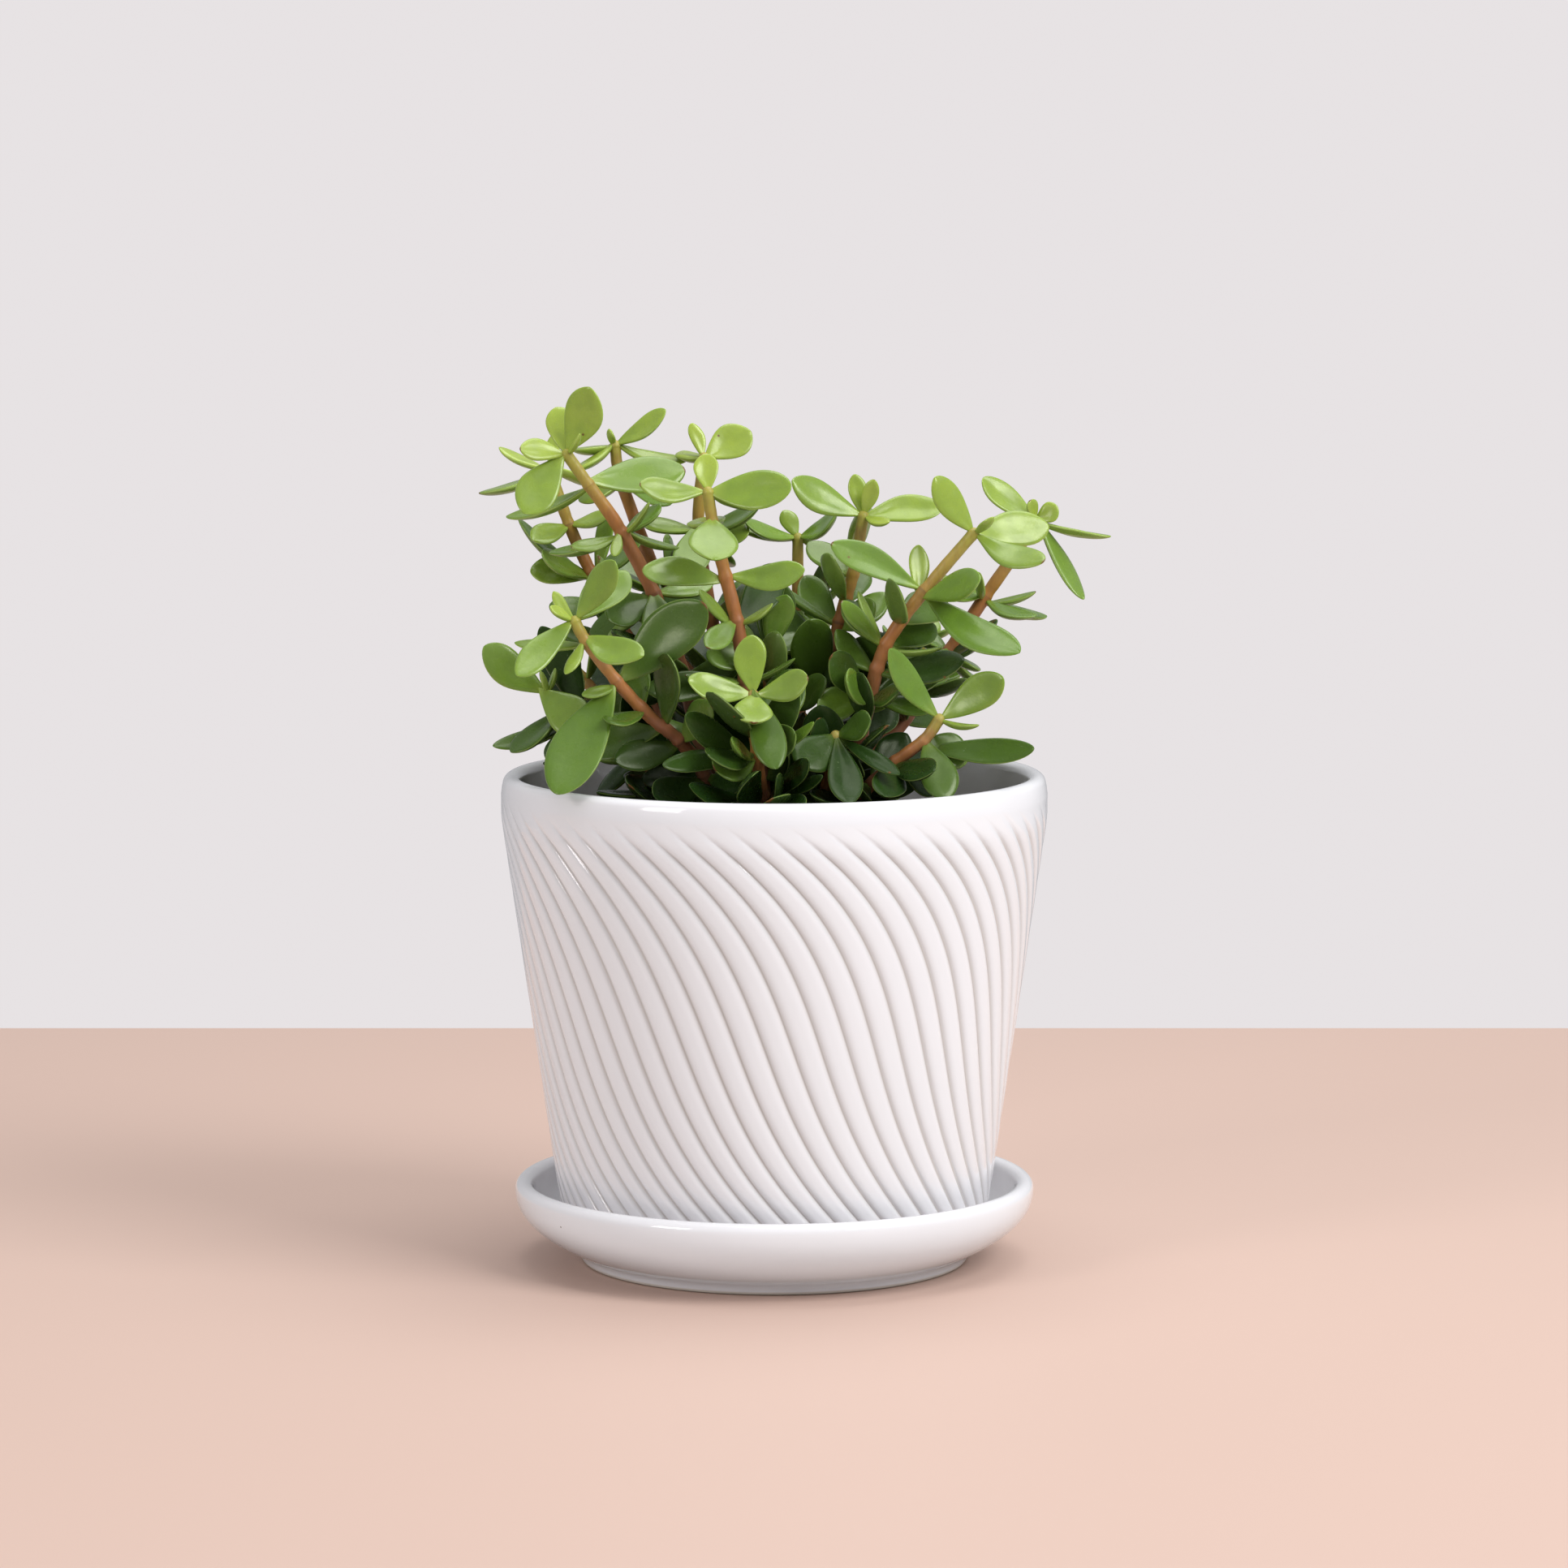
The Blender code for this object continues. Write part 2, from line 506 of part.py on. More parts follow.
def tabled_groups(branch, table):
    groups = []
    for index, rows in table:
        share = branch.share(index)
        growth = branch.direction(share)
        leaves = []
        for row in rows:
            tip = table_point(row[:3])
            leaves.append(Leaf(leaf_foot(branch, share, tip), tip, row[3] * MM * GROWTH, growth, row[4]))
        groups.append((share, leaves))
    return groups


def object_from(shape, name, collection, finish=None):
    mesh = bpy.data.meshes.new(name)
    shape.to_mesh(mesh)
    shape.free()
    return add_object(name, mesh, finish, collection)


def make_collar(branch, share, collection):
    """The short sleeve that joins a group's leaves round the branch, or the bud at its tip."""
    shape = bmesh.new()
    radius = branch.radius_at(share) + SEAT_GAP + COLLAR_WALL
    place, growth = branch.place(share), branch.direction(share)
    if share == 1:
        bmesh.ops.create_icosphere(shape, subdivisions=1, radius=radius * 1.1)
        place = place + growth * COLLAR_WALL
    else:
        bmesh.ops.create_cone(shape, cap_ends=True, segments=8, radius1=radius, radius2=radius,
                              depth=COLLAR_HEIGHT)
    turn = growth.to_track_quat("Z", "Y").to_matrix().to_4x4()
    bmesh.ops.transform(shape, matrix=Matrix.Translation(place) @ turn, verts=shape.verts)
    return object_from(shape, "collar", collection)


def make_leaf_group(name, branch, share, leaves, finish, collection, cutters):
    """A group's leaves joined by their collar, and cut clear of the branch."""
    group = make_collar(branch, share, collection)
    for leaf in leaves:
        blade = object_from(leaf.blade(), "blade", cutters)
        combine(group, blade, "UNION")
        bpy.data.objects.remove(blade)
    stretch = branch.stretch(share, cutters)
    combine(group, stretch, "DIFFERENCE")
    bpy.data.objects.remove(stretch)
    group.name = name
    group.data.name = name
    group.data.materials.clear()
    group.data.materials.append(finish)
    shade_round(group.data)
    return group


def make_trunk(foot, swell, top, name, collection):
    shape = bmesh.new()
    low = -PLANTING_DEPTH * GROWTH - swell
    bmesh.ops.create_cone(shape, cap_ends=True, segments=12, radius1=TRUNK_RADIUS * GROWTH + swell,
                          radius2=TRUNK_TOP_RADIUS * GROWTH + swell, depth=top - low)
    place = table_point((*foot, 0)) + Vector((0, 0, (top + low) / 2))
    bmesh.ops.translate(shape, vec=place, verts=shape.verts)
    return object_from(shape, name, collection)


def space_of(thing, owner):
    bpy.context.view_layer.update()
    shape = bmesh.new()
    shape.from_object(thing, bpy.context.evaluated_depsgraph_get())
    space = Space(shape, owner)
    shape.free()
    return space


def make_plant(parts, cutters, soil, pot, finishes):
    branches = []
    spaces = [space_of(pot, "pot"), space_of(soil, "soil")]
    for stem, (foot, rows) in STEMS.items():
        trunk = make_trunk(foot, 0, TRUNK_RISE * GROWTH, stem, parts)
        hole = make_trunk(foot, SEAT_GAP, TRUNK_RISE * GROWTH * 2, stem + "_hole", cutters)
        cut = soil.modifiers.new(stem, "BOOLEAN")
        cut.object = hole
        hole.display_type = "WIRE"
        hole.hide_render = True
        for name, radius, points, table in rows:
            branch = Branch(name, foot, radius, points)
            tube = branch.tube(name, 0, cutters)
            combine(trunk, tube, "UNION")
            bpy.data.objects.remove(tube)
            tube = branch.tube(name, SEAT_GAP, cutters)
            spaces.append(space_of(tube, name))
            bpy.data.objects.remove(tube)
            branches.append((branch, table))
        trunk.data.materials.clear()
        trunk.data.materials.append(finishes["bark"])
        shade_round(trunk.data)
    for branch, table in branches:
        for number, (share, leaves) in enumerate(tabled_groups(branch, table) or crossed_pairs(branch), 1):
            name = f"leaves_{branch.name}_{number}"
            placed = []
            for leaf in leaves:
                placed.append(settled(leaf, name, branch.name, spaces))
                spaces.append(leaf_space(placed[-1], name))
            make_leaf_group(name, branch, share, placed, finishes["leaf"], parts, cutters)


def main():
    clear_scene()
    parts = new_collection("potted_jade_plant")
    cutters = new_collection("cutters", shown=False)
    finishes = {
        "glaze": material("white_glaze", (0.86, 0.85, 0.84), 0.12),
        "leaf": material("jade_leaf", (0.16, 0.34, 0.07), 0.35),
        "bark": material("green_bark", (0.42, 0.24, 0.10), 0.5),
        "soil": material("potting_soil", (0.03, 0.022, 0.016), 0.95),
    }
    make_saucer(finishes["glaze"], parts)
    pot = make_pot(finishes["glaze"], parts)
    soil = make_soil(finishes["soil"], parts)
    make_plant(parts, cutters, soil, pot, finishes)


main()
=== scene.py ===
"""The finished look of a jade plant in a white glazed pot on its saucer.

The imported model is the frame: metres, +Z up, front towards -Y, origin on the pot's axis under the saucer. Each
piece stands where its plain solid is. The plant's tables are in millimetres, from the middle of the soil's
top.
"""

import math
import random

import bmesh
import bpy
from bpy.props import FloatProperty, FloatVectorProperty, IntProperty, PointerProperty
from mathutils import Matrix, Quaternion, Vector, noise
from mathutils.bvhtree import BVHTree


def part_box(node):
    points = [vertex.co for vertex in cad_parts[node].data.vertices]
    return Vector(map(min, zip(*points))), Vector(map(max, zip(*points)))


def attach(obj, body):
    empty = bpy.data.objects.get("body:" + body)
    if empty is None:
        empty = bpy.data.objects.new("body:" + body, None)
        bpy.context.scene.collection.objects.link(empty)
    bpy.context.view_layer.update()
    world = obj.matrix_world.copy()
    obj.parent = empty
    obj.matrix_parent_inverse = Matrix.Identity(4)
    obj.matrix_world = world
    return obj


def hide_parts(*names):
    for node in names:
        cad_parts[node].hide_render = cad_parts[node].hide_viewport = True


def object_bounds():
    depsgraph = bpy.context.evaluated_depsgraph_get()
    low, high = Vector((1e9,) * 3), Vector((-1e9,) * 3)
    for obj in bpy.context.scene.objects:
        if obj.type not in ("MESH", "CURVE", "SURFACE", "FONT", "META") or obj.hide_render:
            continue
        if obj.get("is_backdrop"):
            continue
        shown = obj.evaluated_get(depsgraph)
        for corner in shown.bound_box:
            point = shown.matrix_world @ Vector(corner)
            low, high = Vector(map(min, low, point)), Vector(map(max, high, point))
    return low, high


bl_info = {
    "name": "Potted Jade Plant",
    "version": (1, 0, 0),
    "blender": (4, 5, 0),
    "location": "3D View > Sidebar > Jade Plant",
    "description": "Builds a jade plant in a swirl-ribbed white pot, piece by piece, round its plain model",
    "category": "Add Mesh",
}

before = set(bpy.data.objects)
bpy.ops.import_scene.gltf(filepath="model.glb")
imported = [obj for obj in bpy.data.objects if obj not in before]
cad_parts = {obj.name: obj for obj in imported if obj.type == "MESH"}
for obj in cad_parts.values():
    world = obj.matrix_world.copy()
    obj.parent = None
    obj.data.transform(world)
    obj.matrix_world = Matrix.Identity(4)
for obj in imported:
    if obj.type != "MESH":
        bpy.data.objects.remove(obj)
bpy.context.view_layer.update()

MM = 0.001
UP = Vector((0, 0, 1))

# The plain model's own sizes, which the leaves need to stand where their solids are.
TRUNK_RISE = 0.007
TWIG_RADIUS = 0.0013
COLLAR_WALL = 0.0007
NODE_REACH = 0.005
ROUTE_STEPS = 2
LEAF_SKIN = 0.0009
LEAF_SWELL = 0.09
LEAF_CURL = -0.07
SEAT_GAP = 0.0003
LEAF_GAP = 0.0004
LIGHT_FROM = Vector((0.10, -0.92, 0.38))

# Each stem: its foot on the soil, then its branches. A branch is a name, its radius at the foot, the points it
# passes through, and its leaf groups. A leaf group is the number of its point, and its leaves. A leaf is its
# tip, its width, and how far its face turns from the growing tip (0) to the light (1). All in millimetres.
STEMS = {
    "stem_left_front": ((-13, -9), (
        ("left_tall", 2.0, ((-16, -9, 18), (-21, -9, 38), (-27.5, -10, 56.5), (-35, -11, 71),
                            (-38.5, -11.5, 76.5), (-42.5, -12, 82), (-47.5, -12, 89)), (
            (7, ((-42, -15, 104.5, 9.6, 0.8), (-50, -5, 99.5, 7.5, 0.6), (-58, -17, 90.5, 6, 0.8),
                 (-57, -21, 76, 9.8, 0.9), (-44.3, -17, 94, 2.4, 0.2))),
            (6, ((-20.5, -3, 85, 10, 0.8), (-62, -1, 74, 6, 0.3))),
            (4, ((-46.5, -16, 68, 4.8, 0.5), (-28.5, -17, 78.3, 3.2, 0.3), (-36.5, -18, 66, 2.8, 0.9),
                 (-22, -4, 67, 5, 0.3), (-52, -6, 66, 5.5, 0.1))),
            (3, ((-38, -15, 47.5, 7, 0.1), (-14, -6, 59, 7, 0.4), (-30, 4, 50, 8, 0.5),
                 (-24, -28, 46, 9, 0.8))),
        )),
        ("left_low", 1.7, ((-16, -19, 16), (-21.8, -27, 25), (-27.8, -29, 30), (-35.5, -31.5, 38.5),
                           (-42.6, -33, 48), (-45, -33, 52.5)), (
            (6, ((-35.7, -38, 66.5, 7.6, 0.8), (-50.5, -36, 56, 3.4, 0.5), (-50, -30, 59, 3, 0.3),
                 (-57.7, -43, 41, 7.2, 0.8), (-33.5, -22, 63, 10, 0.7))),
            (5, ((-29.3, -44, 45.5, 8, 0.7), (-59, -26, 47, 4.5, 0.2), (-47, -39, 41, 3.4, 0.5))),
            (4, ((-43.3, -37, 36, 3.5, 0.6), (-48.8, -49, 15, 13, 0.7), (-15.5, -34, 56.5, 12.5, 0.9))),
        )),
        ("left_side", 1.6, ((-24, -8, 12), (-36, -8, 23), (-46, -8, 29), (-52.5, -8, 33.5)), (
            (4, ((-67, -8, 44.5, 8.5, 0.7), (-43.5, -17, 26, 10, 0.9), (-53.8, -11, 39, 2, 0.2),
                 (-50.5, -8, 39.5, 2.2, 0.3))),
            (3, ((-65, -9, 21.5, 5.5, 0.5), (-49, 0, 41, 6.5, 0.4))),
            (2, ((-54, 5, 16, 6.5, 0.3), (-35.8, -20, 19, 12, 0.9), (-31, -11, 38, 9, 0.8))),
        )),
    )),
    "stem_middle_front": ((-1, -17), (
        ("middle_tall", 2.0, ((-3, -19, 16), (-6.5, -21, 38), (-8.5, -22, 51.5), (-11, -22, 61.5),
                              (-14, -22, 74), (-15, -22, 81)), (
            (6, ((-15.5, -18, 89.5, 5.8, 0.9), (-30.5, -26, 83, 6.5, 0.8), (4, -27, 82.5, 10, 0.9),
                 (-4, -9, 77, 6, 0.5))),
            (5, ((-13.5, -35, 66.5, 11.5, 0.9), (-17, -8, 74, 9, 0.2))),
            (4, ((-30, -26, 63.5, 7.6, 0.85), (7, -25, 63.5, 7.2, 0.85))),
            (3, ((-17, -26, 59, 3.4, 0.6), (-0.3, -25, 55.8, 3.4, 0.4), (-15, -34, 46.5, 6, 0.9))),
            (2, ((-20.3, -26, 39.5, 3.6, 0.4), (4.8, -27, 43.5, 2.6, 0.2), (-29.5, -27, 36.5, 8, 0.85))),
        )),
        ("middle_low", 1.6, ((-2.5, -28, 12), (-4, -33, 22), (-4.7, -36, 36)), (
            (3, ((-5, -34, 49.5, 7.5, 0.9), (-19.3, -42, 40, 7.2, 0.8), (7.7, -42, 40.5, 7.6, 0.8),
                 (-4.5, -48, 31, 9, 0.9))),
            (2, ((-9.5, -46, 27, 4.5, 0.8), (9, -42, 30.5, 3.4, 0.6), (-13.5, -42, 20, 9.5, 0.9),
                 (-25, -46, 21.2, 6, 0.6))),
            (1, ((0.5, -44, 18, 6.5, 0.9), (11, -44, 18.5, 3.8, 0.6), (-19, -46, 16.5, 6, 0.6),
                 (-9, -46, 9, 8.5, 0.9), (6, -47, 11, 8.5, 0.9))),
        )),
        ("middle_inner", 1.5, ((0, -14, 18), (-1, -14, 32), (-1.5, -14, 43)), (
            (3, ((3, -15, 57, 6.8, 0.8), (-12, -11, 51, 7, 0.5), (8, -6, 47, 8, 0.4),
                 (-15, -22, 42, 8, 0.8))),
        )),
    )),
    "stem_right_front": ((13, -13), (
        ("right_inner", 1.9, ((10.5, -9, 18), (12.5, -7, 36), (15, -6, 50), (18.2, -6, 61),
                              (20.5, -6, 74.5)), (
            (5, ((4, -11, 83, 8.6, 0.8), (39, -3, 76.5, 7.6, 0.8), (18.5, -4, 84, 4.5, 0.9),
                 (23, -8, 83, 4, 0.9), (26.3, -13, 73.5, 3.6, 0.7), (20.5, 8, 67, 11, 0.9))),
            (3, ((0.5, -8, 59, 4.5, 0.3), (26, 3, 56, 8, 0.4))),
            (2, ((9.5, -16, 52.5, 10.5, 0.95), (19, 5, 44, 9, 0.3), (-2, -4, 41, 9, 0.7),
                 (26, -12, 31, 8, 0.8))),
        )),
        ("right_tall", 2.0, ((17.5, -15, 16), (22, -17, 34), (25.5, -19, 46), (34, -20, 58),
                             (45.5, -20, 71.5)), (
            (5, ((36.5, -23, 84.5, 7.6, 0.85), (63, -12, 72.5, 9, 0.8), (61, -33, 66, 7.4, 0.8),
                 (49.8, -24, 75.5, 3, 0.4))),
            (4, ((46.5, -35, 62, 8.6, 0.9), (33, -15, 68.5, 5, 0.7), (13, -17, 69, 8, 0.8),
                 (45, -28, 59.3, 4, 0.6), (55.5, -35, 45.5, 9.4, 0.8))),
            (3, ((15.3, -24, 56.3, 5, 0.7), (18, -18, 57.5, 3.5, 0.3), (38.3, -24, 45.8, 3, 0.05))),
            (2, ((16.5, -31, 38.5, 9, 0.9), (36, -22, 31, 6, 0.6), (38.5, -8, 39, 8, 0.5),
                 (10, -24, 31, 8.5, 0.8))),
        )),
        ("right_low", 1.6, ((20, -22, 12), (27.5, -28, 20), (34, -30, 25), (37.5, -30.5, 30)), (
            (4, ((51.8, -36, 40, 8.4, 0.85), (46.3, -37, 29.3, 2.8, 0.3), (26, -36, 46.5, 7, 0.8))),
            (3, ((59, -33, 23.5, 7, 0.6), (44.5, -22, 20, 7.5, 0.8), (39, -38, 12.5, 9, 0.85))),
        )),
        ("front_low", 1.4, ((12, -24, 14), (14, -29, 26)), (
            (2, ((28.3, -41, 18.5, 4.6, 0.6), (21.8, -36, 30, 8, 0.75), (4, -38, 22, 10, 0.9),
                 (17, -46, 12.5, 8, 0.9))),
        )),
    )),
    "stem_left_back": ((-10, 14), (
        ("back_left", 1.8, ((-22, 12, 18), (-34, 13, 44), (-43, 14, 60), (-48, 14, 71), (-52.5, 14, 84)), (
            (5, ((-64.5, 18, 89, 5, 0), (-69, 12, 78.5, 7, 0.1), (-50.5, 19, 93, 4, 0.3),
                 (-42, 19, 80, 6, 0.1))),
            (3, ((-57, 10, 60.5, 9, 0.6), (-54, 4, 65, 8, 0.6), (-39, 19, 75, 5, 0.4),
                 (-60, 16, 72.5, 6, 0.1))),
        )),
        ("back_left_tall", 1.9, ((-15, 20, 25), (-27, 24, 56), (-36, 25, 80), (-37.5, 25, 89)), (
            (4, ((-25.5, 22, 97.5, 6, 0.6), (-38.8, 23, 93, 3, 0.3), (-48, 26, 88, 6, 0), (-48, 20, 83, 6, 0),
                 (-20.5, 24, 85.5, 6, 0.4))),
            (2, ((-38, 32, 62, 8, 0.2), (-16, 26, 62, 8, 0.3), (-30, 12, 48, 9, 0.5), (-22, 37, 50, 9, 0.2))),
        )),
        ("back_middle_tall", 2.0, ((-11, 17, 25), (-15, 18, 50), (-18, 18, 70), (-16.5, 18, 86.5)), (
            (4, ((-19.5, 20, 94.5, 3.6, 0.7), (-5.5, 22, 92.5, 9, 0.9), (-21, 27, 87, 7, 0.3))),
            (3, ((-32, 20, 72, 7, 0.3), (-6, 12, 69, 9, 0.7), (-20, 6, 60, 9, 0.5), (-10, 30, 60, 8, 0.2))),
        )),
        ("rear_left", 1.7, ((-20, 28, 14), (-29, 38, 34), (-34, 45, 48)), ()),
        ("far_left", 1.6, ((-27, 19, 14), (-40, 24, 28), (-49, 27, 38)), ()),
    )),
    "stem_right_back": ((10, 14), (
        ("back_right_tall", 2.0, ((22, 16, 14), (35.5, 19, 32), (41, 20, 40.5), (49.5, 21, 53.5),
                                  (56.5, 21, 63.5), (61.5, 21, 71.5)), (
            (6, ((49, 23, 81.5, 7.5, 0.7), (66.5, 20, 75, 5, 0.8), (60, 18, 76.5, 4, 0.7), (79, 18, 68, 5, 0),
                 (72.5, 14, 53.5, 6, 0.4))),
            (4, ((61.5, 19, 55, 3.4, 0.3), (48, 12, 60, 3.6, 0.4), (64.5, 27, 48.5, 7, 0.05),
                 (40, 29, 58, 7, 0.3))),
            (3, ((48, 13, 37, 6, 0.2), (31, 27, 46, 8, 0.4), (33, 6, 36, 9, 0.6), (50, 30, 32, 8, 0.2))),
        )),
        ("back_inner", 1.8, ((6, 16, 22), (5.5, 19, 50), (5.5, 20, 67.5)), (
            (3, ((2, 20, 74, 4.5, 0.8), (14.5, 17, 72.5, 4.5, 0.4), (-9, 20, 70, 5, 0.1),
                 (16, 22, 64, 5, 0))),
            (2, ((-7, 12, 60, 8, 0.5), (17, 16, 59, 7, 0.2), (10, 6, 42, 9, 0.6), (0, 34, 44, 8.5, 0.2))),
        )),
        ("rear_middle", 1.7, ((6, 28, 14), (5, 40, 32), (4, 48, 46)), ()),
        ("rear_right", 1.7, ((20, 28, 14), (30, 38, 30), (36, 44, 42)), ()),
    )),
}

# Leaves between the groups, in the same form, which fill the plant's inside: they join the nearest leaf group.
INNER_LEAVES = {
    "left_side": ((1, ((-33.5, -24, 31, 9, 0.85), (-27, -34, 20.5, 9, 0.9), (-14, -22, 22, 8, 0.8),
                       (-38, -28, 11, 9, 0.5))),
                  (3, ((-54, -4, 48.8, 8, 0.6), (-50.7, -26, 34.6, 7, 0.7)))),
    "left_low": ((2, ((-36, -34, 21, 8, 0.8), (-14, -38, 34, 8, 0.85), (-20.6, -24, 27, 9, 0.8))),
                 (1, ((-27, -38, 13, 8.5, 0.9), (-6, -30, 16, 8, 0.8)))),
    "left_tall": ((2, ((-33.7, -22, 34, 9, 0.9), (-8, -16, 44, 8, 0.8), (-24, -20, 43.6, 8, 0.5))),
                  (1, ((-30, -20, 14, 8, 0.7), (-4, -16, 27, 8, 0.8), (-24, -24, 27, 9, 0.9))),
                  (3, ((-38, -22, 52, 9, 0.9), (-42.7, -6, 47, 8, 0.6))),
                  (4, ((-26.3, -6, 77.2, 6, 0.4),))),
    "middle_tall": ((1, ((-17, -30, 19, 8, 0.8), (10, -30, 22, 8, 0.8), (-11, -32, 38, 8, 0.9))),
                    (3, ((0.5, -8, 63.6, 9, 0.9),))),
    "middle_low": ((3, ((0.5, -48, 20.5, 8, 0.95),)),
                   (1, ((-8, -44, 27, 8, 0.95), (2, -49, 15, 9, 0.6), (10.7, -47, 20, 6, 0.9))),
                   (2, ((3, -47, 32.7, 8, 0.9), (-19.7, -41, 34.4, 7, 0.9), (4.8, -42, 28, 8, 0.9),
                        (-7, -48, 13, 8, 0.9)))),
    "middle_inner": ((3, ((2.9, -8, 58.4, 9, 0.9), (-4, 0, 58, 8, 0.5))),
                     (2, ((-14, -10, 36, 8, 0.6), (12, -22, 38, 8, 0.8))),
                     (1, ((-12, -4, 24, 8, 0.5), (12, -20, 24, 8, 0.8)))),
    "right_inner": ((1, ((24, -20, 25, 8, 0.8), (0, -20, 22, 8, 0.8))),
                    (2, ((24, -14, 47, 9, 0.9),)),
                    (3, ((7.3, 4, 60, 8, 0.7), (23.7, -10, 55.4, 7, 0.8))),
                    (4, ((8, 2, 68, 8, 0.6),))),
    "right_tall": ((1, ((33, -22, 14, 9, 0.8), (14, -32, 20, 8, 0.8), (8, -30, 30, 9, 0.9))),
                   (2, ((14, -28, 43, 9, 0.9), (28, -30, 36, 8, 0.9))),
                   (3, ((40, -12, 38, 8, 0.6), (37, -6, 47, 8, 0.6), (22, -8, 56, 8, 0.5)))),
    "right_low": ((2, ((38.3, -42, 15.3, 8, 0.9), (38, -20, 13, 8, 0.7), (24.5, -44, 14, 8, 0.85))),
                  (3, ((44.1, -28, 21.6, 9, 0.9),))),
    "back_left": ((1, ((-34, 2, 24, 9, 0.6), (-14, 26, 28, 9, 0.4))),
                  (2, ((-50, 0, 47, 9, 0.6), (-26, 26, 50, 9, 0.3), (-43, 0, 57, 8, 0.6))),
                  (3, ((-31, 6, 68, 8, 0.5),)),
                  (4, ((-56, 4, 68, 7, 0.7), (-38, 8, 74, 6, 0.5)))),
    "back_left_tall": ((1, ((-26, 10, 32, 9, 0.6), (-8, 32, 34, 9, 0.3))),
                       (2, ((-18, 10, 66, 9, 0.7), (-36, 8, 60, 8, 0.6))),
                       (3, ((-24, 12, 76, 7, 0.5), (-46, 22, 76, 6, 0.4)))),
    "back_middle_tall": ((1, ((-22, 4, 32, 9, 0.6), (0, 28, 34, 9, 0.3))),
                         (2, ((-26, 6, 56, 9, 0.5), (-4, 30, 58, 9, 0.3), (-1, 8, 58, 9, 0.7))),
                         (3, ((-3.2, 6, 76.3, 7, 0.6),))),
    "back_right_tall": ((1, ((30, 2, 22, 9, 0.6), (14, 30, 24, 9, 0.3))),
                        (2, ((44, 4, 36, 9, 0.6), (28, 34, 42, 9, 0.3), (26, 8, 42, 8, 0.6))),
                        (3, ((52, 8, 49, 8, 0.6),)),
                        (4, ((61, 10, 50, 7, 0.5), (38, 14, 56, 7, 0.5)))),
    "back_inner": ((1, ((-6, 6, 30, 9, 0.5), (20, 26, 32, 9, 0.3))),
                   (2, ((14.5, 10, 62, 8, 0.6), (-6, 8, 52, 9, 0.6))),
                   (3, ((14.5, 10, 74, 7, 0.7), (-8, 14, 71, 6, 0.5)))),
}

# Painted shade: how far the leaves of the shaded branches are darkened towards the colour of the oldest leaves,
# beyond what their size and place give.
SHADED = {"front_low": 0.62, "left_side": 0.12, "middle_inner": 0.25, "right_low": 0.04, "rear_left": 0.2,
          "far_left": 0.2, "rear_middle": 0.2, "rear_right": 0.2, "back_inner": 0.1}

# A branch with no leaf table carries crossed pairs: the share of its length, the leaf's length and its lean.
CROSSED_PAIRS = ((1.0, 7, 28), (0.86, 13, 58), (0.52, 17, 72))
PAIR_WIDTH = 0.5
PAIR_TURN = 0.15

# Crossed pairs also fill bare stretches of the stems: the heights they keep to, their lean and their turn.
FILLER_HEIGHTS = 7, 56
FILLER_LEAN = 62
FILLER_TURN = 0.55

# Painted shade: how far a leaf of the plant's inside is darkened towards the colour of the oldest leaves.
HIDDEN_SHADE = 0.20

# The shares of its size, and the angles to turn it by, that a leaf may take where it finds no room as drawn.
DRAWN_TRIES = (1, 0.86, 0.72, 0.58, 0.45, 0.35, 0.25), (6, 12, 18, 25, 33, 45)
INNER_TRIES = (1, 0.85, 0.7, 0.55), (8, 16, 24, 34, 45)
FILLER_TRIES = (1, 0.8, 0.62), (12, 24, 40)


# ---- Sizes and colours ----


def length(name, description, default, most):
    return FloatProperty(name=name, description=description, default=default, min=0, max=most,
                         precision=5, subtype="DISTANCE", unit="LENGTH")


def colour(name, description, default):
    return FloatVectorProperty(name=name, description=description, default=default, min=0, max=1, size=3,
                               subtype="COLOR")


def quantity(name, description, default, least, most):
    return IntProperty(name=name, description=description, default=default, min=least, max=most)


class PotSettings(bpy.types.PropertyGroup):
    grooves: quantity("Grooves", "Swirling grooves round the pot", 56, 8, 90)
    groove_depth: length("Groove depth", "How deep the swirling grooves are pressed", 0.0008, 0.002)
    band: length("Plain band", "Height of the plain band under the rim", 0.010, 0.03)
    wall: length("Pot wall", "Thickness of the pot's wall and rim", 0.0042, 0.01)
    saucer_wall: length("Saucer wall", "Thickness of the saucer's rim", 0.0042, 0.01)
    glaze: colour("Glaze", "Colour of the white glaze", (0.90, 0.89, 0.905))
    bisque: colour("Bisque", "Colour of the unglazed foot", (0.66, 0.60, 0.52))


class SoilSettings(bpy.types.PropertyGroup):
    grain: length("Grain", "Height of the soil's lumps", 0.0016, 0.005)
    crumbs: quantity("Crumbs", "Loose crumbs on the soil", 420, 0, 2000)
    dark: colour("Damp soil", "Colour of the soil's hollows", (0.016, 0.011, 0.008))
    light: colour("Dry soil", "Colour of the soil's dry crumbs", (0.075, 0.050, 0.034))


class PlantSettings(bpy.types.PropertyGroup):
    young: colour("Young leaf", "Colour of the newest leaves", (0.40, 0.505, 0.070))
    grown: colour("Grown leaf", "Colour of full-grown leaves", (0.15, 0.27, 0.028))
    # The colour of the oldest leaves, which also serves as painted shade: low, inner and shaded leaves are
    # darkened towards it.
    old_and_shaded: colour("Old leaf", "Colour of the lowest leaves", (0.014, 0.040, 0.006))
    margin: colour("Margin", "Colour of the thin leaf margin", (0.46, 0.60, 0.17))
    shoot: colour("Shoot", "Colour of the stems near their tips", (0.40, 0.38, 0.06))
    stem: colour("Stem", "Colour of the grown stems", (0.43, 0.175, 0.042))
    bark: colour("Bark", "Colour of the stems near the soil", (0.20, 0.10, 0.055))
    node_spacing: length("Node spacing", "Distance between leaf pairs on a bare stretch", 0.0075, 0.05)


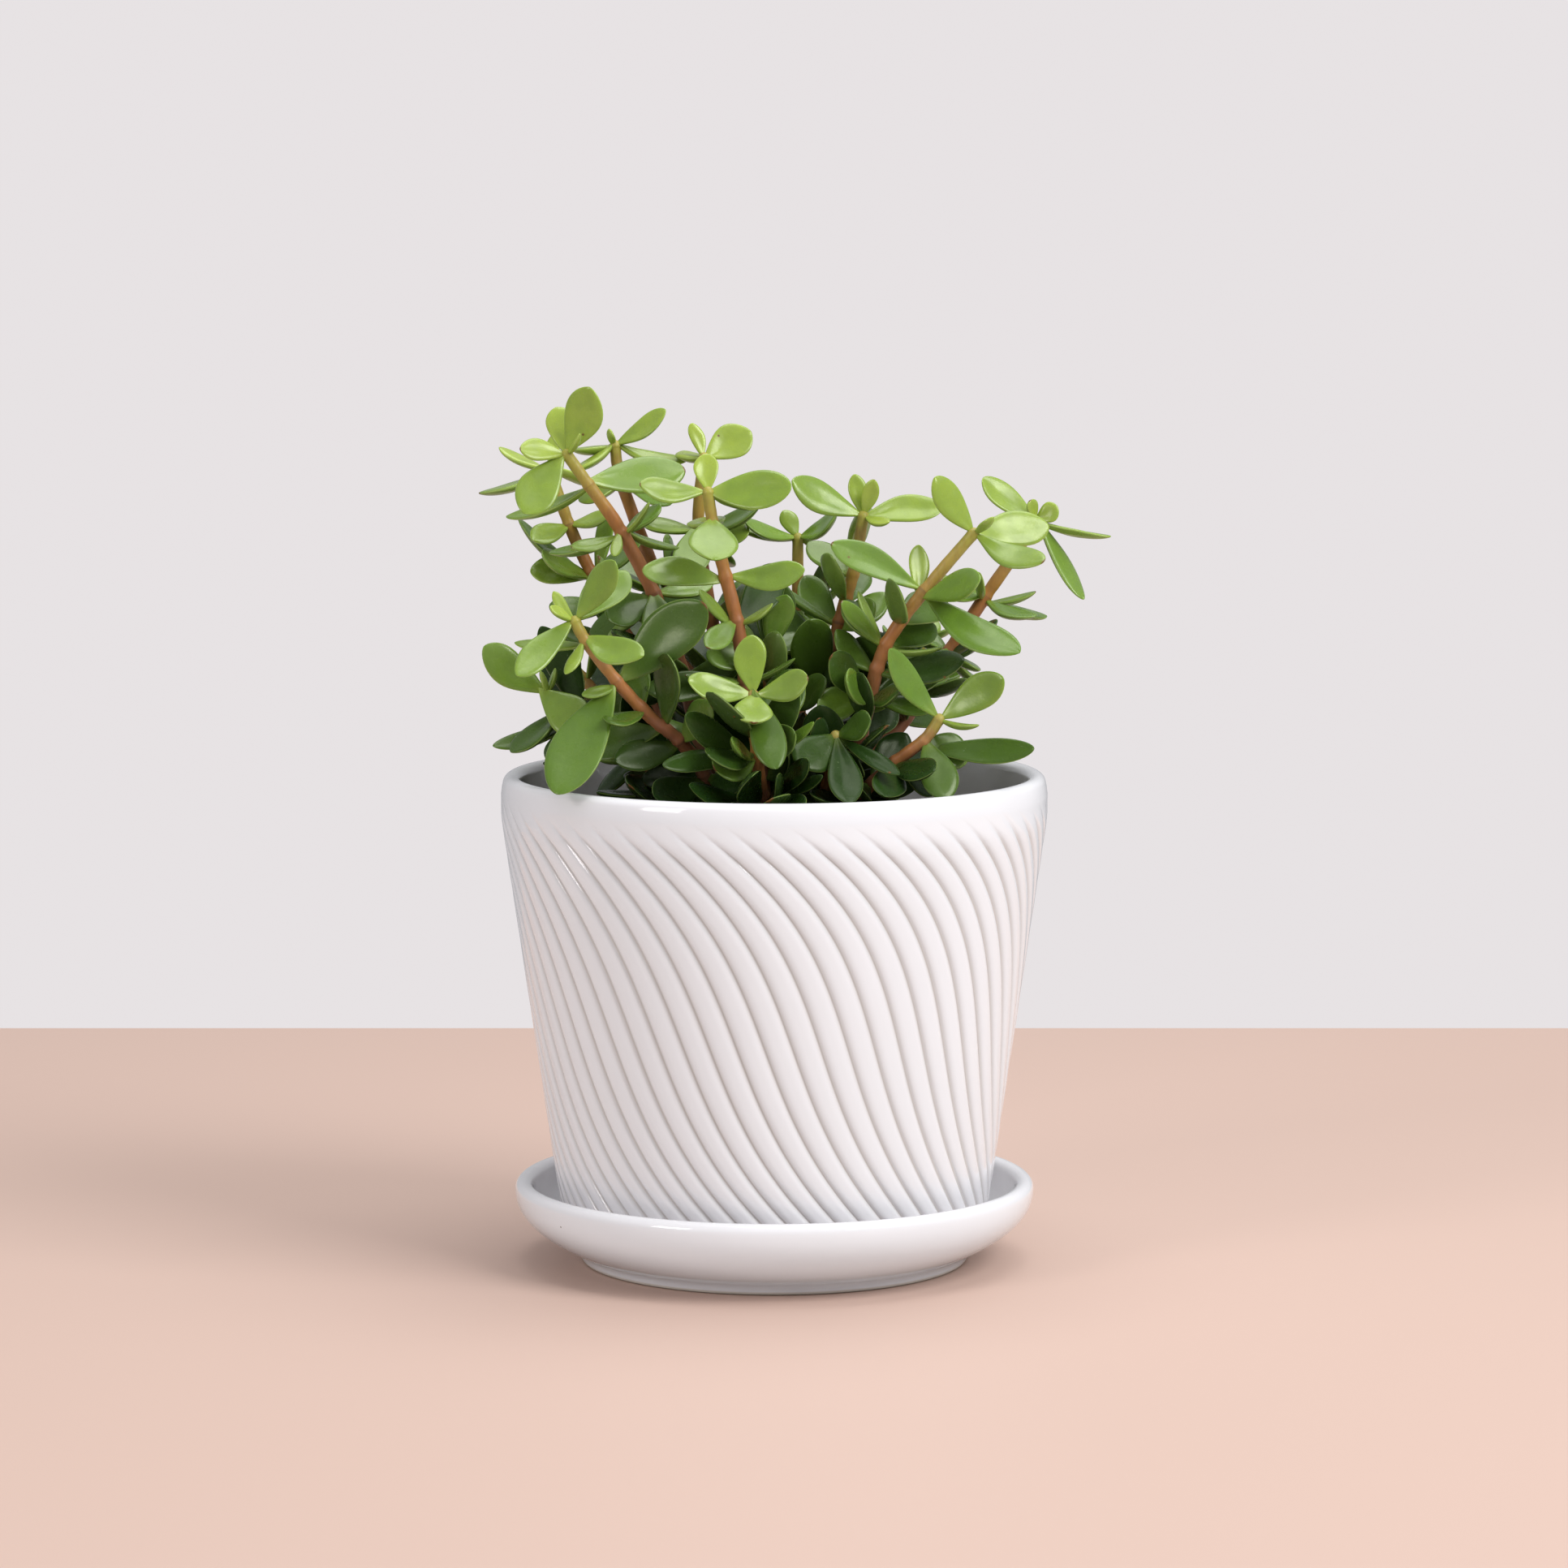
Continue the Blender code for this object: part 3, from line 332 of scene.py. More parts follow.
class StageSettings(bpy.types.PropertyGroup):
    floor: colour("Floor", "Colour of the floor", (0.645, 0.465, 0.385))
    floor_light: colour("Floor's light", "Colour of the light that the floor throws up", (0.59, 0.53, 0.50))
    air: colour("Air", "Colour of the light all round", (0.80, 0.765, 0.775))
    key: FloatProperty(name="Key light", description="Power of the key light", default=17.5, min=0, max=500)


# ---- Materials ----


class Recipe:
    """A material's node graph, built up by short calls."""

    def __init__(self, name, **constants):
        self.material = bpy.data.materials.new(name)
        self.material.use_nodes = True
        self.tree = self.material.node_tree
        self.shader = self.tree.nodes["Principled BSDF"]
        self.set(self.shader, constants)
        self.place = self.node("TexCoord").outputs["Object"]

    def plug(self, socket, value):
        """Links a socket to another node's output, or gives it a value of its own."""
        if isinstance(value, bpy.types.NodeSocket):
            self.tree.links.new(value, socket)
        else:
            socket.default_value = (*value, 1) if socket.type == "RGBA" else value

    def set(self, node, values):
        for name, value in values.items():
            self.plug(node.inputs[name.replace("_", " ")], value)

    def node(self, kind, inputs=(), **settings):
        made = self.tree.nodes.new("ShaderNode" + kind)
        for name, value in settings.items():
            setattr(made, name, value)
        self.set(made, dict(inputs))
        return made

    def noise(self, scale, detail=2, roughness=0.5, place=None):
        inputs = {"Vector": place or self.place, "Scale": scale, "Detail": detail, "Roughness": roughness}
        return self.node("TexNoise", inputs).outputs["Fac"]

    def cells(self, scale):
        """Scattered cells: the distance to the nearest one's middle, and its own chance from 0 to 1."""
        made = self.node("TexVoronoi", {"Vector": self.place, "Scale": scale})
        chance = self.node("SeparateColor", {"Color": made.outputs["Color"]})
        return made.outputs["Distance"], chance.outputs[0]

    def remap(self, value, low, high, to_low=0, to_high=1):
        inputs = {"Value": value, "From Min": low, "From Max": high, "To Min": to_low, "To Max": to_high}
        return self.node("MapRange", inputs, interpolation_type="SMOOTHSTEP").outputs["Result"]

    def maths(self, operation, first, second):
        made = self.node("Math", operation=operation)
        self.plug(made.inputs[0], first)
        self.plug(made.inputs[1], second)
        return made.outputs["Value"]

    def times(self, first, second):
        return self.maths("MULTIPLY", first, second)

    def mix(self, factor, first, second):
        made = self.node("Mix", data_type="RGBA")
        for number, value in ((0, factor), (6, first), (7, second)):
            self.plug(made.inputs[number], value)
        return made.outputs[2]

    def layers(self, body, *layers):
        """Lays colours over a body colour in turn, each given with how much of it shows."""
        for amount, tone in layers:
            body = self.mix(amount, body, tone)
        return body

    def ramp(self, value, *stops):
        """Runs through colours, each given with its place from 0 to 1."""
        made = self.node("ValToRGB", {"Fac": value})
        elements = made.color_ramp.elements
        elements[0].color, elements[1].color = (*stops[0][1], 1), (*stops[-1][1], 1)
        for place, tone in stops[1:-1]:
            elements.new(place).color = (*tone, 1)
        return made.outputs["Color"]

    def mark(self, name):
        """A piece's own painted values, as (red, green, blue, alpha) sockets."""
        attribute = self.node("Attribute", attribute_name=name)
        parts = self.node("SeparateColor", {"Color": attribute.outputs["Color"]})
        return (*parts.outputs, attribute.outputs["Alpha"])

    def bump(self, height, strength, distance, normal=None):
        inputs = {"Height": height, "Strength": strength, "Distance": distance}
        return self.node("Bump", inputs | ({"Normal": normal} if normal else {})).outputs["Normal"]

    def finish(self, **sockets):
        self.set(self.shader, sockets)
        return self.material


def white_glaze(settings):
    """Thick glossy white glaze, painted browner and darker down in the grooves as painted shade, with rare
    pinholes and a bare foot.
    """
    recipe = Recipe("white_glaze", IOR=1.5, Coat_Weight=0.5, Coat_Roughness=0.03)
    valley = recipe.maths("POWER", recipe.mark("relief")[0], 1.6)
    cloud = recipe.remap(recipe.noise(22, 3), 0.35, 0.7)
    pore, chance = recipe.cells(62)
    pinhole = recipe.times(recipe.remap(pore, 0.011, 0.019, 1, 0), recipe.remap(chance, 0.62, 0.66))
    height = recipe.node("SeparateXYZ", {"Vector": recipe.place}).outputs["Z"]
    bare = recipe.remap(height, 0.0004, 0.0009, 1, 0)
    # Painted shade: the glaze is darkened and browned down in the grooves, where shade falls.
    body = recipe.mix(recipe.times(valley, 0.75), settings.glaze, (0.46, 0.405, 0.36))
    body = recipe.layers(body, (recipe.times(cloud, 0.10), (0.78, 0.775, 0.765)),
                         (recipe.times(pinhole, 0.85), (0.16, 0.11, 0.08)), (bare, settings.bisque))
    ripple = recipe.bump(recipe.noise(95), 0.06, 0.0006)
    ripple = recipe.bump(pinhole, 0.5, -0.0003, ripple)
    return recipe.finish(Base_Color=body, Roughness=recipe.remap(bare, 0, 1, 0.11, 0.8), Normal=ripple)


def jade_leaf(settings):
    """Waxy succulent leaf: its colour runs from young to aged, and on to dark painted shade for low, inner and
    shaded leaves, paler at the stalk and along the thin margin.
    """
    recipe = Recipe("jade_leaf", Subsurface_Weight=0.25, Subsurface_Radius=(0.8, 1.0, 0.15),
                    Subsurface_Scale=0.0014, IOR=1.45, Specular_Tint=(0.95, 1.0, 0.7), Coat_Roughness=0.18)
    # The age channel carries each leaf's age and its painted shade together.
    along, margin, age, tint = recipe.mark("leaf")
    under = recipe.mark("face")[0]
    mottle = recipe.noise(210, 3, 0.6)
    bloom = recipe.times(recipe.remap(recipe.noise(60), 0.45, 0.75, 0, 0.12), age)
    stalk = recipe.times(recipe.remap(along, 0.04, 0.26, 0.55, 0), recipe.remap(age, 0.3, 0.9, 1, 0.3))
    dust = recipe.times(recipe.remap(recipe.noise(1500, 2, 0.7), 0.66, 0.74), recipe.remap(mottle, 0.45, 0.6))
    rim = recipe.times(recipe.remap(margin, 0.955, 0.995), recipe.remap(age, 0.2, 1, 0.5, 0.35))
    spot, chance = recipe.cells(230)
    scar = recipe.times(recipe.remap(spot, 0.04, 0.10, 1, 0), recipe.remap(chance, 0.90, 0.92))
    scorched = recipe.times(recipe.remap(along, 0.975, 0.99), recipe.remap(tint, 0.80, 0.84))
    body = recipe.ramp(age, (0, settings.young), (0.5, settings.grown), (1, settings.old_and_shaded))
    body = recipe.layers(
        body,
        (recipe.remap(tint, 0.3, 1, 0, 0.18), (0.18, 0.28, 0.06)),
        (recipe.remap(mottle, 0.30, 0.72, 0, 0.22), (0.04, 0.10, 0.012)),
        (bloom, (0.32, 0.43, 0.22)),
        (recipe.times(under, 0.30), (0.26, 0.35, 0.10)),
        # Painted shade: the most shaded leaves are darkened further towards the colour of the oldest leaves.
        (recipe.remap(age, 0.55, 1, 0, 0.8), settings.old_and_shaded),
        (stalk, (0.36, 0.46, 0.07)),
        (recipe.times(dust, recipe.remap(age, 0.3, 0.9, 0.05, 0.30)), (0.42, 0.52, 0.34)),
        (rim, settings.margin),
        (recipe.maths("MAXIMUM", scar, scorched), (0.15, 0.065, 0.02)),
    )
    skin = recipe.bump(recipe.noise(700, 3, 0.6), 0.16, 0.0003)
    skin = recipe.bump(recipe.noise(120, 1), 0.22, 0.0009, skin)
    # Painted shade also takes specular and coat away from the shaded leaves.
    return recipe.finish(Base_Color=body, Roughness=recipe.remap(mottle, 0.3, 0.7, 0.23, 0.36), Normal=skin,
                         Specular_IOR_Level=recipe.remap(age, 0.4, 1, 0.6, 0.2),
                         Coat_Weight=recipe.remap(age, 0.4, 1, 0.3, 0.05))


def green_bark(settings):
    """Smooth fleshy stem: green at the tip, then orange-brown, then dull brown, with dark rings at nodes."""
    recipe = Recipe("green_bark", Subsurface_Weight=0.30, Subsurface_Radius=(1.0, 0.45, 0.15),
                    Subsurface_Scale=0.0014, IOR=1.42, Coat_Weight=0.08, Coat_Roughness=0.3)
    age, ring, seed, _ = recipe.mark("stem")
    body = recipe.ramp(age, (0, settings.shoot), (0.34, settings.stem), (0.66, (0.38, 0.145, 0.065)),
                       (1, settings.bark))
    stretched = recipe.node("Mapping", {"Vector": recipe.place, "Scale": (1, 1, 0.25)}).outputs["Vector"]
    grain = recipe.noise(900, 4, 0.65, stretched)
    blush = recipe.times(recipe.remap(recipe.noise(130), 0.42, 0.66, 0, 0.35), seed)
    body = recipe.layers(body, (recipe.remap(grain, 0.35, 0.75, 0, 0.32), (0.16, 0.08, 0.035)),
                         (blush, (0.50, 0.20, 0.14)), (recipe.remap(ring, 0.2, 1, 0, 0.6), (0.13, 0.06, 0.03)))
    return recipe.finish(Base_Color=body, Roughness=recipe.remap(grain, 0.3, 0.7, 0.38, 0.55),
                         Normal=recipe.bump(grain, 0.35, 0.0003))


def potting_soil(settings):
    """Dark damp soil with drier, paler crumbs."""
    recipe = Recipe("potting_soil", Roughness=0.95, Specular_IOR_Level=0.25)
    coarse = recipe.noise(420, 5, 0.7)
    body = recipe.mix(recipe.remap(coarse, 0.35, 0.7), settings.dark, settings.light)
    fibre, _ = recipe.cells(330)
    body = recipe.mix(recipe.remap(fibre, 0, 0.5, 0.45, 0), body, (0.11, 0.075, 0.05))
    return recipe.finish(Base_Color=body, Normal=recipe.bump(coarse, 0.8, 0.0012))


def pale_floor(settings):
    """Plain matt floor, which throws back a more neutral light than its own colour."""
    recipe = Recipe("pale_floor", Roughness=0.55, Specular_IOR_Level=0.2)
    thrown = recipe.node("LightPath").outputs["Is Diffuse Ray"]
    return recipe.finish(Base_Color=recipe.mix(thrown, settings.floor, settings.floor_light))


# ---- Shared modelling ----

DOUBLINGS = 4
KEPT = {}


def kept(name, work):
    """What a piece of work gave the first time it was done."""
    if name not in KEPT:
        KEPT[name] = work()
    return KEPT[name]


def mesh_of(shape, name):
    """Turns a bmesh into a mesh."""
    mesh = bpy.data.meshes.new(name)
    shape.to_mesh(mesh)
    shape.free()
    return mesh


def in_scene(name, data):
    """A new object in the scene that holds a mesh, curve, lamp or lens."""
    made = bpy.data.objects.new(name, data)
    bpy.context.scene.collection.objects.link(made)
    return made


def finished(shape, name, finish, slot, *nodes):
    """Turns a bmesh into a smooth piece that rides with the object and stands for its plain solids."""
    mesh = mesh_of(shape, name)
    mesh.materials.append(finish)
    mesh.shade_smooth()
    piece = in_scene(name, mesh)
    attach(piece, "root")
    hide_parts(*nodes)


def arc(centre, radius, start, end, count):
    """Points of a circular arc in the (radius, height) plane, angles in degrees from +radius."""
    steps = [math.radians(start + (end - start) * i / count) for i in range(count + 1)]
    return [(centre[0] + radius * math.cos(a), centre[1] + radius * math.sin(a)) for a in steps]


def straight(start, end, count):
    """Points along a line, without its end."""
    return [(start[0] + (end[0] - start[0]) * i / count, start[1] + (end[1] - start[1]) * i / count)
            for i in range(count)]


def turned(profile, closed, steps):
    """A (radius, height) profile turned about Z: one sector is spun, then doubled into the full round."""
    shape = bmesh.new()
    points = [shape.verts.new((radius, 0, height)) for radius, height in profile]
    for first, second in zip(points, points[1:] + points[:1] if closed else points[1:]):
        shape.edges.new((first, second))
    sector = 2 * math.pi / 2 ** DOUBLINGS
    bmesh.ops.spin(shape, geom=[*shape.verts, *shape.edges], cent=(0, 0, 0), axis=UP, dvec=(0, 0, 0),
                   angle=sector, space=Matrix(), steps=steps // 2 ** DOUBLINGS, use_merge=False,
                   use_normal_flip=False, use_duplicate=False)
    for level in range(DOUBLINGS):
        whole = [*shape.verts, *shape.edges, *shape.faces]
        copies = bmesh.ops.duplicate(shape, geom=whole)["geom"]
        bmesh.ops.rotate(shape, cent=(0, 0, 0), matrix=Matrix.Rotation(sector * 2 ** level, 3, "Z"),
                         verts=[item for item in copies if isinstance(item, bmesh.types.BMVert)])
    bmesh.ops.remove_doubles(shape, verts=shape.verts, dist=0.000004)
    bmesh.ops.recalc_face_normals(shape, faces=shape.faces)
    return shape


def merged_into(shape, other):
    """Adds a small mesh to a bmesh and gives the points that it brought."""
    start = len(shape.verts)
    shape.from_mesh(other)
    shape.verts.ensure_lookup_table()
    return shape.verts[start:]


def smoothstep(value, low, high):
    t = min(1, max(0, (value - low) / (high - low)))
    return t * t * (3 - 2 * t)


def plain_radius(node, height, reach):
    """The largest radius of a plain solid's points near a height."""
    points = [vertex.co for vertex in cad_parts[node].data.vertices if abs(vertex.co.z - height) < reach]
    return max(math.hypot(point.x, point.y) for point in points)


# ---- Pot and saucer ----

GROOVE_COLUMNS = 14
GROOVE_SHARPNESS = 3.2
SWIRL_MIDDLE = 0.060
SWIRL_REACH = 0.050
SWIRL_START = math.radians(3.68)
SWIRL_SLOPE = math.radians(-17.92)
SWIRL_TWIST = math.radians(-16.02)
POT_RINGS = 58
POT_FLOOR = 0.005
POT_RECESS = 0.0012
POT_BORE = 0.006
FOOT_ROUND = 0.0014
SAUCER_FOOT_HEIGHT = 0.0025
SAUCER_HOLLOW = 2.0
SAUCER_FLARE = 2.3
SAUCER_CLEARANCE = 0.0005
SAUCER_STEPS = 288


def swirl(height):
    """How far round a groove has turned at a height: steepest in the middle, sweeping out at both ends."""
    at = (height - SWIRL_MIDDLE) / SWIRL_REACH
    return SWIRL_START + SWIRL_SLOPE * at + SWIRL_TWIST * at ** 3


def pot_sizes():
    """The heights of the pot's base and rim, and its outer radius at the rim and just above the base."""
    low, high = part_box("pot")
    return low.z, high.z, high.x, plain_radius("pot", low.z + 0.0015, 0.0004)


def pot_side(settings):
    """The rule for the pot's outer radius at a height, as it is without its grooves."""
    low, high, rim, foot = kept("pot", pot_sizes)
    top = high - settings.band
    return lambda height: foot + (rim - foot) * min(1, (height - low) / (top - low))


def pot_profile(settings):
    """The pot's closed outline: up over the rim, down its outer side, under the foot, and up inside."""
    low, high, rim, foot = kept("pot", pot_sizes)
    side = pot_side(settings)
    wall, lip = settings.wall, settings.wall / 2
    shoulder, ankle = high - settings.band * 0.55, low + 0.0022
    floor, recess = low + POT_FLOOR, low + POT_RECESS
    mouth = POT_BORE + 0.0006
    heights = [shoulder + (ankle - shoulder) * i / POT_RINGS for i in range(POT_RINGS + 1)]

    profile = arc((rim - lip - 0.0004, high - lip), lip, 180, 12, 14)
    profile += [(rim - 0.0002, high - lip - 0.0008), (rim, shoulder + 0.001)]
    profile += [(side(height), height) for height in heights]
    profile += arc((foot - FOOT_ROUND, low + FOOT_ROUND), FOOT_ROUND, 0, -90, 5)
    profile += [(foot - 0.0070, low), (foot - 0.0078, low + 0.0003), (foot - 0.0085, recess)]
    profile += straight((foot - 0.0095, recess), (mouth, recess), 5)
    profile += [(mouth, recess), (POT_BORE, recess + 0.0006), (POT_BORE, floor - 0.0006), (mouth, floor)]
    profile += straight((POT_BORE + 0.002, floor), (foot - wall - 0.004, floor), 5)
    profile += arc((foot - wall - 0.0045, floor + 0.004), 0.004, -90, 0, 5)
    bottom, top = (side(floor + 0.006) - wall, floor + 0.006), (rim - wall - 0.0004, high - lip - 0.001)
    return profile + straight(bottom, top, 10)


class JADE_OT_pot(bpy.types.Operator):
    """Build the pot, with grooves that swirl up its outer side and fade below a plain rim"""

    bl_idname = "jade.pot"
    bl_label = "Pot"

    def execute(self, context):
        settings = context.scene.jade_pot
        low, high, *_ = kept("pot", pot_sizes)
        side = pot_side(settings)
        shape = turned(pot_profile(settings), True, settings.grooves * GROOVE_COLUMNS)
        marks = shape.verts.layers.float_color.new("relief")
        for vertex in shape.verts:
            x, y, height = vertex.co
            radius, angle = math.hypot(x, y), math.atan2(y, x)
            nominal = side(height)
            outside = smoothstep(radius, nominal - 0.0012, nominal - 0.0004)
            rise = smoothstep(height, low + 0.0012, low + 0.0035)
            fade = 1 - smoothstep(height, high - settings.band - 0.0035, high - settings.band * 0.55)
            turns = angle * settings.grooves / (2 * math.pi)
            valley = (1 - 2 * abs(turns - round(turns))) ** GROOVE_SHARPNESS * outside * rise * fade
            radius -= settings.groove_depth * valley
            angle += swirl(height) - math.pi / 2
            vertex.co = (radius * math.cos(angle), radius * math.sin(angle), height)
            vertex[marks] = (valley, 0, 0, 1)
        finished(shape, "glazed_pot", glaze_finish(context), "white_glaze", "pot")
        return {"FINISHED"}


def glaze_finish(context):
    return kept("glaze", lambda: white_glaze(context.scene.jade_pot))


def bowl(edge, reach, drop, fullness, count):
    """A bowl's side from its edge downwards: steep at first, then running in under it."""
    shares = [i / count for i in range(1, count + 1)]
    return [(edge[0] - reach * share ** fullness, edge[1] - drop * share) for share in shares]


def saucer_profile(settings):
    """The saucer's outline: out along its floor, up over the rolled rim, and down to the foot."""
    *_, pot_foot = kept("pot", pot_sizes)
    radius, _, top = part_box("saucer")[1]
    foot = plain_radius("saucer", 0, 0.0004)
    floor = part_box("pot")[0].z - SEAT_GAP
    wall, lip = settings.saucer_wall, settings.saucer_wall / 2
    middle = top - lip
    reach = radius - wall - pot_foot - SAUCER_CLEARANCE

    profile = straight((0, floor), (radius - wall - reach, floor), 8)
    profile += reversed(bowl((radius - wall, middle), reach, middle - floor, SAUCER_HOLLOW, 14))
    profile += arc((radius - lip, middle), lip, 180, 0, 14)
    profile += bowl((radius, middle), radius - foot - 0.0010, middle - SAUCER_FOOT_HEIGHT, SAUCER_FLARE, 18)
    profile += [(foot + 0.0005, SAUCER_FOOT_HEIGHT - 0.0004), (foot + 0.0002, SAUCER_FOOT_HEIGHT - 0.0010),
                (foot, 0.0009)]
    profile += arc((foot - 0.0006, 0.0006), 0.0006, -20, -90, 4)
    return profile + straight((foot - 0.002, 0), (0, 0), 6) + [(0, 0)]


class JADE_OT_saucer(bpy.types.Operator):
    """Build the saucer: a shallow bowl with a thick rounded rim on a low foot"""

    bl_idname = "jade.saucer"
    bl_label = "Saucer"

    def execute(self, context):
        shape = turned(saucer_profile(context.scene.jade_pot), False, SAUCER_STEPS)
        marks = shape.verts.layers.float_color.new("relief")
        for vertex in shape.verts:
            vertex[marks] = (0, 0, 0, 1)
        finished(shape, "glazed_saucer", glaze_finish(context), "white_glaze", "saucer")
        return {"FINISHED"}


# ---- Soil ----

CROWN = 0.0022
SOIL_FOOT_ROUND = 0.0042
SOIL_STEPS = 208

# The sizes of the soil's lumps, as waves to the millimetre, and how strong each size is.
SOIL_LUMPS = (0.16, 0.55), (0.45, 0.45), (1.1, 0.3)


def soil_height(out, edge, top):
    """The height of the soil's crowned top at a distance from the middle."""
    return top - CROWN * (out / edge) ** 3


def soil_profile(edge, low, high):
    """The soil's outline: out over its crowned top, down along the pot's wall, and in under it."""
    foot = plain_radius("soil", low + SOIL_FOOT_ROUND, 0.0006)
    profile = [(edge * i / 46, soil_height(edge * i / 46, edge, high)) for i in range(46)]
    profile += [(edge - 0.0004, high - 0.0026), (edge, high - 0.0040)]
    profile += straight((edge - 0.0004, high - 0.0060), (foot, low + SOIL_FOOT_ROUND), 12)
    profile += [(foot, low + SOIL_FOOT_ROUND), (foot - SOIL_FOOT_ROUND, low)]
    return profile + straight((foot - 0.006, low), (0, low), 5) + [(0, low)]


def add_crumb(shape, edge, top, chance):
    """Drops a rough little lump of soil somewhere on the top."""
    angle, out = chance.uniform(0, 2 * math.pi), (edge - 0.002) * math.sqrt(chance.random())
    size = 0.0004 + 0.0011 * chance.random() ** 2
    made = bmesh.ops.create_icosphere(shape, subdivisions=1, radius=size)["verts"]
    for vertex in made:
        vertex.co *= 1 + 0.35 * noise.noise(vertex.co * 2200 + Vector((out, angle, size)) * 900)
    stretch = Matrix.Diagonal((chance.uniform(0.7, 1.5), chance.uniform(0.7, 1.3), chance.uniform(0.5, 0.9)))
    axis = Vector((chance.gauss(0, 1), chance.gauss(0, 1), 1)).normalized()
    spin = Quaternion(axis, chance.uniform(0, 6.28))
    place = Vector((out * math.cos(angle), out * math.sin(angle), soil_height(out, edge, top) - 0.0004))
    turn = Matrix.Translation(place) @ (spin.to_matrix() @ stretch).to_4x4()
    bmesh.ops.transform(shape, matrix=turn, verts=made)


class JADE_OT_soil(bpy.types.Operator):
    """Build the soil: a lumpy crowned plug with loose crumbs on top"""

    bl_idname = "jade.soil"
    bl_label = "Soil"

    def execute(self, context):
        settings = context.scene.jade_soil
        low, high = (corner.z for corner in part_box("soil"))
        edge = plain_radius("soil", high - 0.003, 0.0016)
        shape = turned(soil_profile(edge, low, high), False, SOIL_STEPS)
        for vertex in shape.verts:
            top = smoothstep(vertex.co.z, high - 0.0045, high - 0.0025)
            place = vertex.co * 1000
            lumps = sum(noise.noise(place * scale) * part for scale, part in SOIL_LUMPS)
            inside = 1 - smoothstep(math.hypot(vertex.co.x, vertex.co.y), edge - 0.003, edge - 0.0005)
            vertex.co.z += settings.grain * (lumps - 0.35) * top * (0.4 + 0.6 * inside)
        chance = random.Random(11)
        for _ in range(settings.crumbs):
            add_crumb(shape, edge, high, chance)
        bmesh.ops.recalc_face_normals(shape, faces=shape.faces)
        finished(shape, "soil_bed", potting_soil(settings), "potting_soil", "soil")
        return {"FINISHED"}


# ---- The plant's shape, as its plain solids have it ----


def soil_top():
    """The height of the soil's top."""
    return kept("soil_top", lambda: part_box("soil")[1].z)


def table_point(values):
    """A place in the plant's table, as metres in the frame."""
    return Vector(values) * MM + Vector((0, 0, soil_top()))


def smooth_route(points):
    """A Catmull-Rom route through the points."""
    ends = [points[0] * 2 - points[1], *points, points[-1] * 2 - points[-2]]
    route = []
    for before, first, second, after in zip(ends, ends[1:], ends[2:], ends[3:]):
        for step in range(ROUTE_STEPS):
            t = step / ROUTE_STEPS
            route.append(0.5 * (2 * first + (second - before) * t
                                + (2 * before - 5 * first + 4 * second - after) * t * t
                                + (3 * first - before - 3 * second + after) * t * t * t))
    return [*route, points[-1]]


def plain_tube(route, radii):
    """A coarse round tube along a route, as a bmesh to test against."""
    curve = bpy.data.curves.new("tube", "CURVE")
    curve.dimensions = "3D"
    curve.bevel_depth = 1
    curve.bevel_resolution = 2
    curve.use_fill_caps = True
    spline = curve.splines.new("POLY")
    spline.points.add(len(route) - 1)
    for point, place, radius in zip(spline.points, route, radii):
        point.co = (*place, 1)
        point.radius = radius
    tube = in_scene("tube", curve)
    bpy.context.view_layer.update()
    shape = bmesh.new()
    mesh = bpy.data.meshes.new_from_object(tube.evaluated_get(bpy.context.evaluated_depsgraph_get()))
    shape.from_mesh(mesh)
    bpy.data.objects.remove(tube)
    bpy.data.curves.remove(curve)
    bpy.data.meshes.remove(mesh)
    bmesh.ops.remove_doubles(shape, verts=shape.verts, dist=0.00001)
    return shape


class Branch:
    """A branch's points, its smooth route, its radius along it, its leaf table, and where its nodes are."""

    def __init__(self, foot, name, radius, points, table):
        self.name = name
        self.table = table
        self.nodes = [0.0]
        self.points = [table_point((*foot, 0)) + Vector((0, 0, TRUNK_RISE * 0.5)), *map(table_point, points)]
        self.route = smooth_route(self.points)
        self.radius = radius * MM

    def share(self, index):
        """How far along the branch one of its points is, from 0 to 1."""
        return index / (len(self.points) - 1)

    def radius_at(self, share):
        return self.radius + (TWIG_RADIUS - self.radius) * share

    def place(self, share):
        at = share * (len(self.route) - 1)
        first = min(int(at), len(self.route) - 2)
        return self.route[first].lerp(self.route[first + 1], at - first)

    def direction(self, share):
        return (self.place(min(1, share + 0.06)) - self.place(max(0, share - 0.06))).normalized()

    def space(self):
        route = [*self.route[:-1], self.route[-1] + self.direction(1) * SEAT_GAP]
        radii = [self.radius_at(i / (len(route) - 1)) + SEAT_GAP for i in range(len(route))]
        shape = plain_tube(route, radii)
        made = Space(shape, self.name)
        shape.free()
        return made

    def length(self):
        return sum((b - a).length for a, b in zip(self.route, self.route[1:]))


